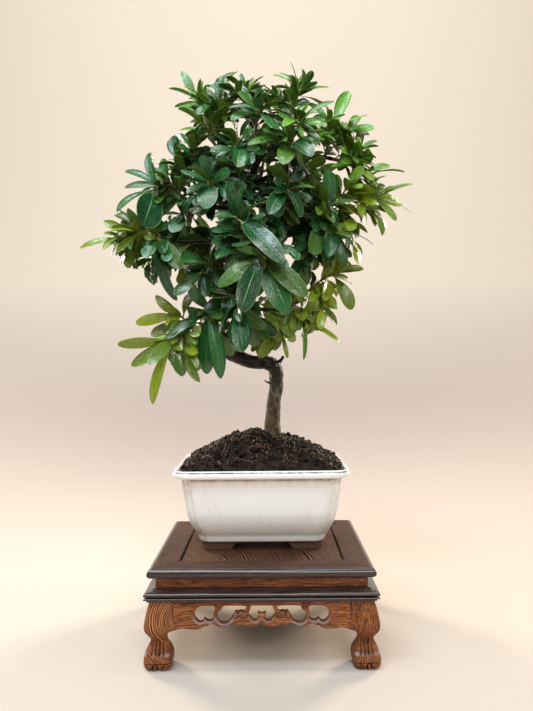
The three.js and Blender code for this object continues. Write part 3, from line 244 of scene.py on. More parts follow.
class Nodes:
    """A material and short calls that add nodes to it."""

    def __init__(self, name, **shader):
        self.material = bpy.data.materials.new(name)
        self.material.use_nodes = True
        self.tree = self.material.node_tree
        self.shader = self.tree.nodes["Principled BSDF"]
        for key, value in shader.items():
            self.set(self.shader, key.replace("_", " ").title().replace("Ior", "IOR"), value)

    def set(self, node, key, value):
        if isinstance(value, bpy.types.NodeSocket):
            self.tree.links.new(value, node.inputs[key])
        else:
            node.inputs[key].default_value = value

    def add(self, kind, inputs, output=0, **settings):
        node = self.tree.nodes.new("ShaderNode" + kind)
        for key, value in settings.items():
            setattr(node, key, value)
        for key, value in inputs.items():
            self.set(node, key, value)
        return node.outputs[output]

    def place(self):
        return self.add("TexCoord", {}, output="Object")

    def value(self, name, output="Fac"):
        return self.add("Attribute", {}, output=output, attribute_name=name)

    def part(self, vector, axis):
        return self.add("SeparateXYZ", {"Vector": vector}, output=axis)

    def math(self, operation, a, b=0.0):
        return self.add("Math", {0: a, 1: b}, operation=operation)

    def times(self, a, b):
        return self.math("MULTIPLY", a, b)

    def plus(self, a, b):
        return self.math("ADD", a, b)

    def minus(self, a, b):
        return self.math("SUBTRACT", a, b)

    def scaled(self, vector, x, y, z):
        return self.add("Mapping", {"Vector": vector, "Scale": (x, y, z)})

    def noise(self, vector, scale, detail=4.0, roughness=0.55):
        inputs = {"Vector": vector, "Scale": scale, "Detail": detail, "Roughness": roughness}
        return self.add("TexNoise", inputs, output="Fac")

    def cells(self, vector, scale):
        return self.add("TexVoronoi", {"Vector": vector, "Scale": scale}, output="Distance")

    def span(self, value, low, high, to_low=0.0, to_high=1.0):
        inputs = {"Value": value, "From Min": low, "From Max": high, "To Min": to_low, "To Max": to_high}
        return self.add("MapRange", inputs, clamp=True)

    def mix(self, share, a, b):
        node = self.tree.nodes.new("ShaderNodeMix")
        node.data_type = "RGBA"
        for key, value in ((0, share), (6, a), (7, b)):
            self.set(node, key, (*value, 1.0) if isinstance(value, tuple) and len(value) == 3 else value)
        return node.outputs[2]

    def bump(self, height, distance, strength=1.0):
        return self.add("Bump", {"Height": height, "Distance": distance, "Strength": strength})

    def finish(self, colour, roughness=None, normal=None):
        for key, value in (("Base Color", colour), ("Roughness", roughness), ("Normal", normal)):
            if value is not None:
                self.set(self.shader, key, value)
        return self.material


def wood_material(name, dark, middle, light, gloss, ring_scale, ring_share, coat):
    """Open-grained wood. The grain attribute holds centimetres along, across and through the board, another
    one the rubbed edges with painted highlights on lips, curls and knuckles, deep painted shade in the
    bottoms of the carving, and figure where the rings stand out."""
    n = Nodes(name, coat_weight=coat, coat_roughness=0.16, specular_ior_level=0.14)
    grain = n.value("grain", "Vector")
    worn, figure, deep = n.value("worn"), n.value("figure"), n.value("deep")
    wander = n.noise(n.scaled(grain, 0.12, 0.5, 0.5), 1.0, 2.0)
    bent = n.add("VectorMath", {0: grain, 1: n.add("CombineXYZ", {"Y": n.times(wander, 1.6)})})
    rings = n.add(
        "TexWave",
        {"Vector": n.scaled(bent, 0.07, 1.0, 1.0), "Scale": ring_scale, "Distortion": 2.2, "Detail": 3.0,
         "Detail Scale": 1.6, "Detail Roughness": 0.6},
        output="Fac", wave_type="RINGS", rings_direction="X",
    )
    streaks = n.noise(n.scaled(bent, 0.16, 3.2, 3.2), 3.2, 6.0, 0.7)
    pores = n.noise(n.scaled(bent, 0.8, 15.0, 15.0), 2.6, 2.0, 0.5)
    patches = n.noise(n.scaled(grain, 0.25, 0.6, 0.6), 0.9, 2.0)
    base = n.mix(n.span(streaks, 0.40, 0.60), dark, middle)
    strength = n.plus(n.times(figure, 0.55), ring_share)
    base = n.mix(n.times(n.span(rings, 0.35, 0.8), strength), base, light)
    base = n.mix(n.times(n.span(rings, 0.42, 0.22), n.times(figure, 0.75)), base, dark)
    base = n.mix(n.span(patches, 0.4, 0.75, 0.0, 0.45), base, dark)
    pore = n.span(pores, 0.57, 0.66)
    base = n.mix(n.times(pore, 0.8), base, tuple(0.3 * c for c in dark))
    # Rubbed wear together with painted highlights on the lips, curls and knuckles, in a pale grey.
    wear_and_highlight = n.times(worn, n.span(patches, 0.35, 0.6, 0.25, 0.8))
    base = n.mix(wear_and_highlight, base, (0.33, 0.28, 0.29))
    # Painted shade in the bottoms of the carving: the grooves there go nearly black.
    base = n.mix(n.times(deep, 0.92), base, tuple(0.12 * c for c in dark))
    roughness = n.span(streaks, 0.3, 0.7, gloss, gloss + 0.2)
    height = n.minus(n.times(streaks, 0.6), pore)
    height = n.plus(height, n.times(rings, 0.5))
    return n.finish(base, roughness, n.bump(height, 0.00022, 0.8))


DARK_WOOD = wood_material(
    "wood_dark", (0.016, 0.0062, 0.0035), (0.082, 0.034, 0.020), (0.15, 0.072, 0.045), 0.5, 2.4, 0.25, 0.0
)
POLISHED_WOOD = wood_material(
    "wood_polished", (0.010, 0.0045, 0.0038), (0.052, 0.025, 0.021), (0.10, 0.056, 0.046), 0.4, 2.4, 0.2, 1.0
)
BROWN_WOOD = wood_material(
    "wood_brown", (0.028, 0.0065, 0.0020), (0.350, 0.106, 0.0310), (0.54, 0.235, 0.096), 0.45, 2.4, 0.25, 0.1
)
PANEL_WOOD = wood_material(
    "wood_panel", (0.003, 0.0011, 0.0006), (0.016, 0.006, 0.003), (0.26, 0.110, 0.050), 0.5, 1.5, 0.65, 0.0
)


def glaze_material():
    """Off-white glaze, tan where it runs thin under the rim and at the foot, with brown pin specks."""
    n = Nodes("glaze", coat_weight=0.6, coat_roughness=0.08, specular_ior_level=0.5)
    place = n.place()
    height = n.part(place, "Z")
    clouds = n.noise(place, 28.0, 4.0)
    base = n.mix(clouds, (0.815, 0.81, 0.80), (0.87, 0.87, 0.87))
    stain = n.noise(n.scaled(place, 1.0, 1.0, 0.6), 45.0, 5.0, 0.7)
    base = n.mix(n.span(stain, 0.5, 0.72, 0.0, 0.3), base, (0.66, 0.60, 0.52))
    under_rim = n.times(n.span(height, 0.1475, 0.1560), n.span(height, 0.1585, 0.1572))
    runs = n.noise(n.scaled(place, 1.0, 1.0, 0.25), 120.0, 3.0)
    base = n.mix(n.times(under_rim, n.span(runs, 0.3, 0.7, 0.3, 0.75)), base, (0.56, 0.42, 0.28))
    low = n.times(n.span(height, 0.118, 0.101, 0.0, 0.4), n.span(height, 0.0985, 0.100))
    base = n.mix(low, base, (0.55, 0.47, 0.36))
    base = n.mix(n.span(height, 0.0950, 0.0932, 0.0, 0.6), base, (0.45, 0.33, 0.2))
    # A tan line along the rim's groove, and painted shade in the crease under the lip.
    worn = n.value("worn")
    base = n.mix(n.times(worn, n.span(runs, 0.35, 0.6, 0.3, 1.0)), base, (0.28, 0.18, 0.10))
    spot = n.cells(place, 170.0)
    few = n.noise(place, 75.0, 1.0)
    speck = n.times(n.span(spot, 0.14, 0.05), n.span(few, 0.54, 0.66))
    base = n.mix(speck, base, (0.22, 0.10, 0.04))
    roughness = n.span(clouds, 0.3, 0.7, 0.16, 0.3)
    return n.finish(base, roughness, n.bump(n.noise(place, 240.0, 3.0), 0.0001, 0.4))


def clay_material():
    n = Nodes("clay")
    place = n.place()
    grit = n.noise(place, 900.0, 4.0, 0.7)
    base = n.mix(grit, (0.055, 0.026, 0.016), (0.15, 0.075, 0.045))
    return n.finish(base, n.span(grit, 0.2, 0.8, 0.55, 0.8), n.bump(grit, 0.0002))


def soil_material(name, dark, light, roughness):
    n = Nodes(name, specular_ior_level=0.15)
    place = n.place()
    grit = n.noise(place, 700.0, 5.0, 0.7)
    clods = n.noise(place, 130.0, 3.0)
    tone = n.value("tone")
    base = n.mix(n.times(grit, tone), dark, light)
    base = n.mix(n.span(clods, 0.45, 0.7, 0.0, 0.5), base, dark)
    return n.finish(base, n.span(clods, 0.3, 0.6, roughness - 0.4, roughness), n.bump(grit, 0.0006))


def bark_material():
    """Grey-brown bark, olive low down, and wet and glossy from the bend up, where it is also painted nearly
    black for the crown's shade.
    """
    n = Nodes("bark", specular_ior_level=0.35)
    place = n.place()
    height = n.part(place, "Z")
    ridges = n.noise(n.scaled(place, 1.0, 1.0, 0.35), 420.0, 5.0, 0.75)
    cracks = n.noise(n.scaled(place, 0.7, 0.7, 2.4), 260.0, 5.0, 0.7)
    lenticels = n.cells(n.scaled(place, 1.0, 1.0, 2.2), 300.0)
    patches = n.noise(place, 110.0, 5.0, 0.7)
    base = n.mix(n.span(ridges, 0.38, 0.62), (0.012, 0.008, 0.005), (0.15, 0.105, 0.068))
    base = n.mix(n.span(patches, 0.52, 0.62, 0.0, 0.7), base, (0.26, 0.235, 0.20))
    base = n.mix(n.span(cracks, 0.42, 0.34), base, (0.008, 0.005, 0.003))
    olive = n.times(n.span(height, 0.235, 0.205), n.span(patches, 0.4, 0.6, 0.2, 0.75))
    base = n.mix(olive, base, (0.13, 0.10, 0.045))
    base = n.mix(n.span(lenticels, 0.14, 0.06, 0.0, 0.5), base, (0.26, 0.21, 0.15))
    wet_shaded_bend = n.span(height, 0.222, 0.256)
    # Painted shade: from the bend up, under the crown, the bark is darkened nearly to black.
    base = n.mix(n.times(wet_shaded_bend, 0.94), base, (0.0030, 0.0012, 0.0006))
    roughness = n.span(wet_shaded_bend, 0.0, 1.0, 0.65, 0.2)
    rise = n.plus(ridges, n.times(n.span(lenticels, 0.3, 0.05), 0.3))
    rise = n.plus(rise, n.span(cracks, 0.34, 0.46))
    return n.finish(base, roughness, n.bump(rise, 0.0010))


def leaf_material(name, old, middle, fresh, sallow, rib, edge, roughness, relief, gloss):
    """A leaf's skin. Its points hold along from 0 to 1 and across from -1 to 1, and its leaves one youth,
    tone, yellow, depth and wither each."""
    n = Nodes(name, specular_ior_level=gloss)
    place = n.place()
    along, across, youth, tone = n.value("along"), n.value("across"), n.value("youth"), n.value("tone")
    off = n.math("ABSOLUTE", across)
    mottle = n.noise(place, 260.0, 4.0, 0.6)
    base = n.mix(tone, old, middle)
    base = n.mix(n.span(youth, 0.2, 1.0), base, n.mix(n.value("yellow"), fresh, sallow))
    base = n.mix(n.span(mottle, 0.35, 0.75, 0.0, 0.35), base, tuple(0.55 * c for c in middle))
    slant = n.minus(n.times(along, 16.0), n.times(off, 3.2))
    veins = n.span(n.math("ABSOLUTE", n.minus(n.math("FRACT", slant), 0.5)), 0.10, 0.0)
    base = n.mix(n.times(veins, 0.18), base, rib)
    midrib = n.times(n.span(off, 0.065, 0.02), n.span(along, 1.0, 0.75, 0.2, 1.0))
    base = n.mix(n.times(midrib, 0.8), base, rib)
    base = n.mix(n.times(n.span(off, 0.92, 1.0), 0.8), base, edge)
    # Painted shade: leaves deep inside the crown are darkened.
    base = n.mix(n.value("depth"), base, tuple(0.12 * c for c in old))
    brown = n.mix(n.span(mottle, 0.3, 0.7), (0.11, 0.05, 0.018), (0.30, 0.17, 0.07))
    base = n.mix(n.value("wither"), base, brown)
    height = n.plus(n.times(veins, relief), n.times(midrib, 2 * relief))
    height = n.plus(height, n.times(n.noise(place, 900.0, 3.0), 0.25))
    height = n.plus(height, n.times(mottle, 2.2))
    wetness = n.noise(place, 150.0, 3.0)
    shine = n.span(wetness, 0.4, 0.62, roughness - 0.1, roughness + 0.14)
    return n.finish(base, shine, n.bump(height, 0.00022, 0.8))


LEAF_TOP = leaf_material(
    "leaf_top", (0.0055, 0.042, 0.014), (0.014, 0.118, 0.022), (0.15, 0.39, 0.010), (0.31, 0.385, 0.012),
    (0.09, 0.24, 0.05), (0.20, 0.32, 0.10), 0.24, -0.5, 0.62,
)
LEAF_UNDER = leaf_material(
    "leaf_under", (0.045, 0.100, 0.016), (0.080, 0.165, 0.020), (0.17, 0.33, 0.016), (0.30, 0.35, 0.018),
    (0.26, 0.36, 0.07), (0.24, 0.32, 0.06), 0.5, 0.6, 0.2,
)


def stalk_material(name, low, high):
    n = Nodes(name, specular_ior_level=0.4)
    streak = n.noise(n.scaled(n.place(), 1.0, 1.0, 0.5), 700.0, 3.0)
    base = n.mix(n.span(streak, 0.3, 0.7), low, high)
    return n.finish(base, n.span(streak, 0.3, 0.7, 0.4, 0.6), n.bump(streak, 0.0002))


PETIOLE = stalk_material("petiole", (0.13, 0.19, 0.035), (0.30, 0.30, 0.08))
TWIG = stalk_material("twig", (0.055, 0.032, 0.018), (0.16, 0.11, 0.05))
GLAZE = glaze_material()
CLAY = clay_material()
BARK = bark_material()
EARTH = soil_material("earth", (0.0014, 0.0009, 0.0006), (0.064, 0.037, 0.023), 0.75)
FIBRE = stalk_material("fibre", (0.14, 0.068, 0.03), (0.44, 0.28, 0.15))
GRIT = stalk_material("grit", (0.42, 0.38, 0.30), (0.72, 0.68, 0.60))


# The stand

TOP_LENGTH, TOP_DEPTH, TOP_Z, TOP_THICKNESS = 200, 162, 86.5, 8.4
BORDER, WAIST_Z = 25.5, 78.1
MOULDING_LENGTH, MOULDING_DEPTH = 205, 167
APRON_Z, APRON_THICKNESS, APRON_INSET = 58.6, 5, 4.5
LEG_INNER, BELLY, BELLY_DROP = 77.2, 4.5, 26
OVERHANG = (TOP_LENGTH - TOP_DEPTH) / 2
SEAT = 0.2
PANEL_GRID, PANEL_HEART = 60, np.array([-84, -74])


def side_frame(side):
    """Whether a side runs along Y, and which way it faces."""
    return side in ("left", "right"), -1 if side in ("front", "left") else 1


def grain_of(points, side, seed):
    """Centimetres along, across and through a board on that side, each board at its own place in the wood."""
    turned, _ = side_frame(side)
    order = [1, 0, 2] if turned else [0, 1, 2]
    return np.asarray(points)[:, order] / 10 + np.array([seed * 37.0, seed * 5.3 % 7 - 3, seed * 3.1 % 5])


def board(section, length, depth, side, stations=25):
    """A mitred board with a given section, [distance in from the outer edge, height]."""
    turned, sign = side_frame(side)
    run, out = ((depth, length) if turned else (length, depth))
    run, out = run / 2, out / 2
    q, z = np.asarray(section, float).T
    rings = []
    for t in np.linspace(-1, 1, stations):
        along = t * (run - q - 0.05)
        across = sign * (out - q)
        rings.append(np.stack([across, along, z] if turned else [along, across, z], -1))
    return turned_out(*capped(rings))


def capped(rings):
    """A loft whose end faces are the whole sections."""
    points, faces = loft(rings, caps=False)
    n = len(rings[0])
    return points, faces + [list(range(n)), [len(points) - n + i for i in range(n)]]


def soften(piece, width):
    """Takes a piece's sharp edges off for good."""
    modifier = piece.modifiers.new("soft", "BEVEL")
    modifier.width = width * MM
    modifier.segments = 1
    modifier.limit_method = "ANGLE"
    modifier.angle_limit = math.radians(50)
    apply(piece)


def apply(piece):
    """Makes what the modifiers give the piece's own mesh."""
    made = bpy.data.meshes.new_from_object(piece.evaluated_get(bpy.context.evaluated_depsgraph_get()))
    piece.modifiers.clear()
    piece.data = made


def spliced(face, edge):
    """The face with the points of an edge put between its two ends."""
    k = face.index(edge[0])
    if face[(k + 1) % len(face)] == edge[-1]:
        return face[:k + 1] + edge[1:-1] + face[k + 1:]
    k = face.index(edge[-1])
    return face[:k + 1] + edge[-2:0:-1] + face[k + 1:]


def build_stand_top():
    """Four mitred boards with a round nose and a groove that holds the panel."""
    radius = TOP_THICKNESS / 2
    a = np.radians(np.linspace(-90, 90, 13))
    nose = np.stack([radius - radius * np.cos(a), TOP_Z - radius + radius * np.sin(a)], -1).tolist()
    section = [
        *nose, [9, TOP_Z + 0.02], [BORDER - 0.8, TOP_Z], [BORDER, TOP_Z - 0.7], [BORDER, TOP_Z - 3],
        [BORDER - 5, TOP_Z - 3], [BORDER - 5, TOP_Z - 6], [BORDER, TOP_Z - 6], [BORDER, WAIST_Z],
    ]
    for k, side in enumerate(SIDES):
        points, faces = board(section, TOP_LENGTH, TOP_DEPTH, side)
        points = np.asarray(points)
        turned, sign = side_frame(side)
        out = sign * points[:, 0 if turned else 1] - (TOP_LENGTH if turned else TOP_DEPTH) / 2
        kinds = [int(len(face) == 4 and out[face].mean() > -radius) for face in faces]
        parts = Parts()
        parts.add(points, faces, kinds, grain=grain_of(points, side, k + 1))
        woods = [DARK_WOOD, POLISHED_WOOD]
        piece = parts.make("stand_frame_" + side, woods, ["stand_top_" + side])
        soften(piece, 0.25)


def build_panel():
    """The panel, with a shallow chamfer round its edge and its tongue in the frame's groove."""
    half = np.array([TOP_LENGTH / 2 - BORDER - 1, TOP_DEPTH / 2 - BORDER - 1])
    top = 85.0
    tongue = half + 5.8
    levels = [
        (half, WAIST_Z + 1), (half, TOP_Z - 5.8), (tongue, TOP_Z - 5.8), (tongue, TOP_Z - 3.2),
        (half, TOP_Z - 3.2), (half, top - 0.5), (half - 0.6, top - 0.05), (half - 2.4, top),
    ]
    corners = np.array([[-1, -1], [1, -1], [1, 1], [-1, 1]])
    rings = [np.column_stack([corners * h, np.full(4, z)]) for h, z in levels]
    points, faces = loft(rings, caps=False)
    faces += [[0, 1, 2, 3]]
    # The face is a grid, so that the grain can curve over it
    n = PANEL_GRID
    sheet = grid_of(*(np.linspace(-h, h, n) for h in levels[-1][0]))
    start = len(points) - 4
    points = np.vstack([points[:start], np.column_stack([sheet, np.full(n * n, top)])])
    ends = [start, start + n - 1, start + n * n - 1, start + n * (n - 1)]
    faces = [[ends[i - start] if i >= start else i for i in face] for face in faces]
    count = np.arange(n)
    rim = [ends[0] + count, ends[1] + n * count, ends[2] - count, ends[3] - n * count]
    for edge in np.array(rim).tolist():
        face = next(f for f in faces if edge[0] in f and edge[-1] in f and len(f) == 4)
        face[:] = spliced(face, edge)
    cells = (start + n * count[:-1, None] + count[:-1]).reshape(-1, 1) + [0, 1, n + 1, n]
    points, faces = turned_out(points, faces + cells.tolist())
    away = points[:, :2] - PANEL_HEART
    reach = np.hypot(away[:, 0], 0.75 * away[:, 1]) / 10
    grain = np.column_stack([np.arctan2(away[:, 1], away[:, 0]) * 4, reach + 3, 0 * reach])
    parts = Parts()
    parts.add(points, faces, grain=grain)
    parts.make("stand_field", [PANEL_WOOD], ["stand_panel"], smooth=20)


def build_stand_waist():
    """The four waist boards, each with the double moulding below it."""
    section = [
        [9.3, WAIST_Z - SEAT], [9.3, 74], [9.3, 69.2], [8.9, 68.9], [8.2, 68.6], [6.5, 68.2], [4.2, 67.6],
        [2.2, 67], [1.1, 66.6], [0.5, 66.2], [0.1, 65.7], [0, 65.1], [0.1, 64.5], [0.6, 63.9], [1.8, 63.3],
        [3, 62.9], [1.6, 62.7], [0.6, 62.4], [0.1, 62], [0, 61.6], [0.2, 61.2], [0.7, 60.8], [2.4, 60.4],
        [2.4, APRON_Z + SEAT], [24, APRON_Z + SEAT], [24, WAIST_Z - SEAT],
    ]
    for k, side in enumerate(SIDES):
        points, faces = board(section, MOULDING_LENGTH, MOULDING_DEPTH, side)
        kinds = [int(np.mean(points[face][:, 2]) > 69.2 and len(face) == 4) for face in faces]
        parts = Parts()
        parts.add(points, faces, kinds, grain=grain_of(points, side, k + 11))
        woods = [POLISHED_WOOD, BROWN_WOOD]
        parts.make("stand_moulding_" + side, woods, ["stand_waist_" + side])


def belly(z):
    """How far the aprons and legs swell outwards at a height below the moulding."""
    down = np.clip((APRON_Z - np.asarray(z, float)) / BELLY_DROP, 0, 1)
    return BELLY * np.sin(down * math.pi / 2)


APRON_EDGE = [
    [0, 40.3], [3.3, 39], [6.8, 38], [10.2, 37.9], [13.7, 38.9], [17.1, 40], [18.3, 39.5], [19.3, 38.5],
    [20.8, 38.7], [22.3, 40], [24, 40.4], [28.3, 38.9], [31.8, 37.9], [35.2, 37.8], [38.7, 38.6],
    [42.1, 39.9], [44.6, 40.4], [45.7, 39.6], [46.7, 38.4], [48.2, 39], [50.3, 38], [52.5, 36.7],
    [56, 35.8], [60.3, 35.8], [65.4, 36.3], [70.6, 36.7], [73.6, 36.1],
]
APRON_END_Z = 34.6
MIDDLE_OPENING = [
    [0, 48.5], [1.3, 48.9], [2.6, 49.9], [3.6, 49], [2.7, 46.4], [3.4, 44.2], [5.6, 43.1], [7.9, 43.8],
    [9.2, 45.7], [11, 47.2], [11.4, 49.4], [10.2, 51.6], [9.6, 53.7], [7.6, 54.6],
]
KIDNEY_OPENING = [
    [13.4, 52.6], [14.4, 54.2], [22.4, 54.7], [32.3, 54.5], [33.9, 54], [34.6, 52.6], [35.5, 51.1],
    [37.6, 50.3], [38.6, 48.2], [38.2, 45.1], [36.4, 42.5], [33.5, 41.4], [30.5, 41.7], [27.6, 43.3],
    [26.2, 45.4], [24.4, 47.9], [23.3, 49.9], [21.9, 50.6], [20.1, 50.2], [18, 50.7], [16.2, 50.3],
    [14.4, 50.8],
]
END_OPENING = [
    [40.9, 53.3], [42.7, 54.4], [46, 54.6], [50.1, 54.6], [53.6, 54.3], [56.2, 53], [57.9, 50.9],
    [58.4, 48.3], [57.4, 45.4], [55.5, 43.3], [53.3, 42.3], [51.1, 43], [50.2, 44.2], [49.1, 45.1],
    [47.4, 43.6], [45.2, 43.2], [42.6, 44], [41.5, 45.9], [41.7, 48.4], [40.9, 51.1],
]
# Carved curls beside the kidney openings: middle, radius and the way each spiral starts
CURLS = [([22.4, 47.6], 1.9, 1.6), ([18.2, 47.9], 1.8, 2.4), ([15.2, 46.8], 1.6, 3.0)]
# The part of an apron that holds them: from left to right and from bottom to top
CURLS_X, CURLS_Z = (12.5, 25.5), (43.5, 50.5)


def mirrored(points):
    return [[-x, z] for x, z in reversed(points)]


def inside(points, loop):
    """Which points lie inside a closed line."""
    x, y = points.T
    hit = np.zeros(len(points), bool)
    for (ax, ay), (bx, by) in zip(loop, np.roll(loop, -1, 0)):
        if ay != by:
            hit ^= ((ay > y) != (by > y)) & (x < (bx - ax) * (y - ay) / (by - ay) + ax)
    return hit


def distance_to(points, loop, closed=True):
    """How far each point is from a line."""
    best = np.full(len(points), 1e9)
    for a, b in zip(loop if closed else loop[:-1], np.roll(loop, -1, 0)):
        way = b - a
        t = np.clip(((points - a) @ way) / max(way @ way, 1e-12), 0, 1)
        best = np.minimum(best, np.linalg.norm(points - a - t[:, None] * way, axis=1))
    return best


def resampled(loop, step):
    """A closed line cut into even pieces about step long."""
    closed = np.vstack([loop, loop[:1]])
    run = run_along(closed)
    at = np.linspace(0, run[-1], max(8, round(run[-1] / step)), endpoint=False)
    return np.stack([np.interp(at, run, closed[:, k]) for k in (0, 1)], -1)


def apron_shape(turned):
    """The apron's outline and openings as smooth closed lines."""
    half = (LEG_INNER - OVERHANG if turned else LEG_INNER) - SEAT
    edge = [p for p in APRON_EDGE if p[0] < half - 4] + [[half, APRON_END_Z]]
    lower = np.array(mirrored(edge)[:-1] + edge)
    t = np.arange(len(lower))
    lower = through(t, lower, np.linspace(0, len(lower) - 1, 5 * len(lower)))
    top = APRON_Z - SEAT
    outline = resampled(np.vstack([lower, [[half, top], [-half, top]]]), 1.0)
    middle = mirrored(MIDDLE_OPENING)[:-1] + MIDDLE_OPENING
    pairs = [KIDNEY_OPENING] if turned else [KIDNEY_OPENING, END_OPENING]
    openings = [middle, *pairs, *(mirrored(p) for p in pairs)]
    spirals = []
    for (x, z), radius, start in CURLS:
        turn = np.linspace(0, 1.5 * 2 * math.pi, 22)
        reach = radius * (1 - 0.78 * turn / turn[-1])
        curl = np.stack([x + reach * np.cos(start - turn), z + reach * np.sin(start - turn)], -1)
        spirals += [curl, curl * [-1, 1]]
    return outline, [resampled(round_loop(p, 4), 0.7) for p in openings], spirals, half


def carving_points(outline, openings, half):
    """Points within the apron's face: close together along its edges and its curls, and sparse elsewhere."""
    loops = [outline, *openings]
    grid = grid_of(np.arange(-half + 1, half, 1.4), np.arange(31, APRON_Z - SEAT, 1.4))
    rims = []
    for loop in loops:
        way = unit(np.roll(loop, -1, 0) - np.roll(loop, 1, 0))
        normal = np.stack([way[:, 1], -way[:, 0]], -1)
        for reach in (0.45, 1.0, 1.7, 2.5):
            rims += [loop + reach * normal, loop - reach * normal]
    fine = grid_of(np.arange(*CURLS_X, 0.4), np.arange(*CURLS_Z, 0.4))
    free = np.vstack([*rims, fine, fine * [-1, 1], grid])
    keep = inside(free, outline) & ~np.any([inside(free, hole) for hole in openings], axis=0)
    away = np.min([distance_to(free, loop) for loop in loops], axis=0)
    free, away = free[keep & (away > 0.4)], away[keep & (away > 0.4)]
    chosen = []
    tree = tree_of([(*p, 0) for p in free])
    taken = np.zeros(len(free), bool)
    for i, p in enumerate(free):
        if not taken[i]:
            chosen.append(i)
            carved = CURLS_X[0] < abs(p[0]) < CURLS_X[1] and CURLS_Z[0] < p[1] < CURLS_Z[1]
            for _, j, _ in tree.find_range((*p, 0), 0.36 if carved or away[i] < 2.6 else 0.9):
                taken[j] = True
    return free[chosen]


def build_apron(side, seed):
    """A board with openings, with a carved lip round each and along its lower edge."""
    turned, sign = side_frame(side)
    outline, openings, spirals, half = apron_shape(turned)
    loops = [outline, *openings]
    free = carving_points(outline, openings, half)
    flat = [Vector(p) for p in np.vstack([*loops, free])]
    edges, start = [], 0
    for loop in loops:
        edges += [(start + i, start + (i + 1) % len(loop)) for i in range(len(loop))]
        start += len(loop)
    made, _, faces, *_ = geometry.delaunay_2d_cdt(flat, edges, [], 0, 1e-5)
    made = np.array([list(v) for v in made])
    middles = np.array([made[list(f)].mean(0) for f in faces])
    solid = inside(middles, outline) & ~np.any([inside(middles, hole) for hole in openings], axis=0)
    faces = [list(f) for f, good in zip(faces, solid) if good]
    away = np.min([distance_to(made, loop) for loop in loops[1:]], axis=0)
    below = np.clip((47 - made[:, 1]) / 4, 0, 1)
    edge_away = np.where(made[:, 1] < 41.5, distance_to(made, outline), 9)
    lip = 0.85 * ridge(away, 1.3, 0.8) * (0.35 + 0.65 * below)
    lip += 0.5 * ridge(edge_away, 1.0, 0.7)
    lip -= 0.8 * np.clip(1 - np.minimum(away, edge_away) / 0.5, 0, 1) ** 2
    carved = np.min([distance_to(made, curl, False) for curl in spirals], axis=0)
    lip += 0.75 * ridge(carved, 0, 0.42) - 0.45 * ridge(carved, 1.0, 0.5)
    # Rubbed wear together with painted highlights on the lips below the openings, which face up to the light,
    # and on the curls.
    worn = np.clip(ridge(away, 1.6, 0.9) * below * 1.3, 0, 1)
    worn += 0.5 * ridge(carved, 0, 0.4)
    # Painted shade beside the curls, along the openings' edges and below their lips.
    deep = 0.8 * ridge(carved, 1.1, 0.35) + 0.8 * ridge(away, 0, 0.3) * (below > 0.1)
    deep += 0.35 * ridge(away, 3.2, 0.5) * below
    face_at = (MOULDING_LENGTH if turned else MOULDING_DEPTH) / 2 - APRON_INSET
    swell = belly(made[:, 1])
    front = face_at + swell + lip - 0.5
    back = face_at + swell - APRON_THICKNESS + 0.6 * np.clip(1 - away / 0.6, 0, 1)
    n = len(made)

    def wall(across):
        across = sign * across
        x, y = (across, made[:, 0]) if turned else (made[:, 0], across)
        return np.stack([x, y, made[:, 1]], -1)

    points = np.vstack([wall(front), wall(back)])
    count = {}
    for f in faces:
        for a, b in zip(f, f[1:] + f[:1]):
            count[(a, b)] = count.get((a, b), 0) + 1
    rim = [(a, b) for a, b in count if (b, a) not in count]
    shell = faces + [[i + n for i in reversed(f)] for f in faces]
    shell += [[b, a, a + n, b + n] for a, b in rim]
    points, shell = turned_out(points, shell)
    parts = Parts()
    worn, deep = (np.concatenate([x, 0 * x]) for x in (worn, deep))
    parts.add(points, shell, grain=grain_of(points, side, seed), worn=worn, deep=np.clip(deep, 0, 1))
    parts.make("stand_fretwork_" + side, [BROWN_WOOD], ["stand_apron_" + side], smooth=55)


# Height, outer face, inner face, and how square the outer corner and the other three corners are
LEG_SECTIONS = np.array([
    [0, 101.2, 81, 4, 4], [4, 102.8, 79.3, 5, 5], [11, 102.8, 78.6, 5, 5], [17, 100.6, 80.4, 4, 3.5],
    [24, 97.6, 83.6, 3.2, 3], [29.5, 100.3, 82.4, 4, 4], [32.3, 101.9, 81, 5, 7], [33.8, 102.4, 79.4, 6, 12],
    [34.8, 102.7, LEG_INNER + SEAT, 6, 24], [46, 101.7, LEG_INNER + SEAT, 6, 30],
    [APRON_Z - SEAT, 98.4, LEG_INNER + SEAT, 7, 30],
])
# Grooves between the claws on one face of the foot: across the face at the top, and at the bottom
CLAW_GAPS = [(-7.2, -3.0), (0.4, -1.7), (1.8, 5.4)]
CLAW_TOP, KNUCKLE_TOP = 6.6, 13.2
# Grooves between the tendons above them
TENDON_GAPS = (-5.6, -1.8, 1.6, 5.2)
LEG_COLUMNS = 208
# Where the rings of the front left leg's wood start from: x and z
LEG_HEART = np.array([-74, 43])


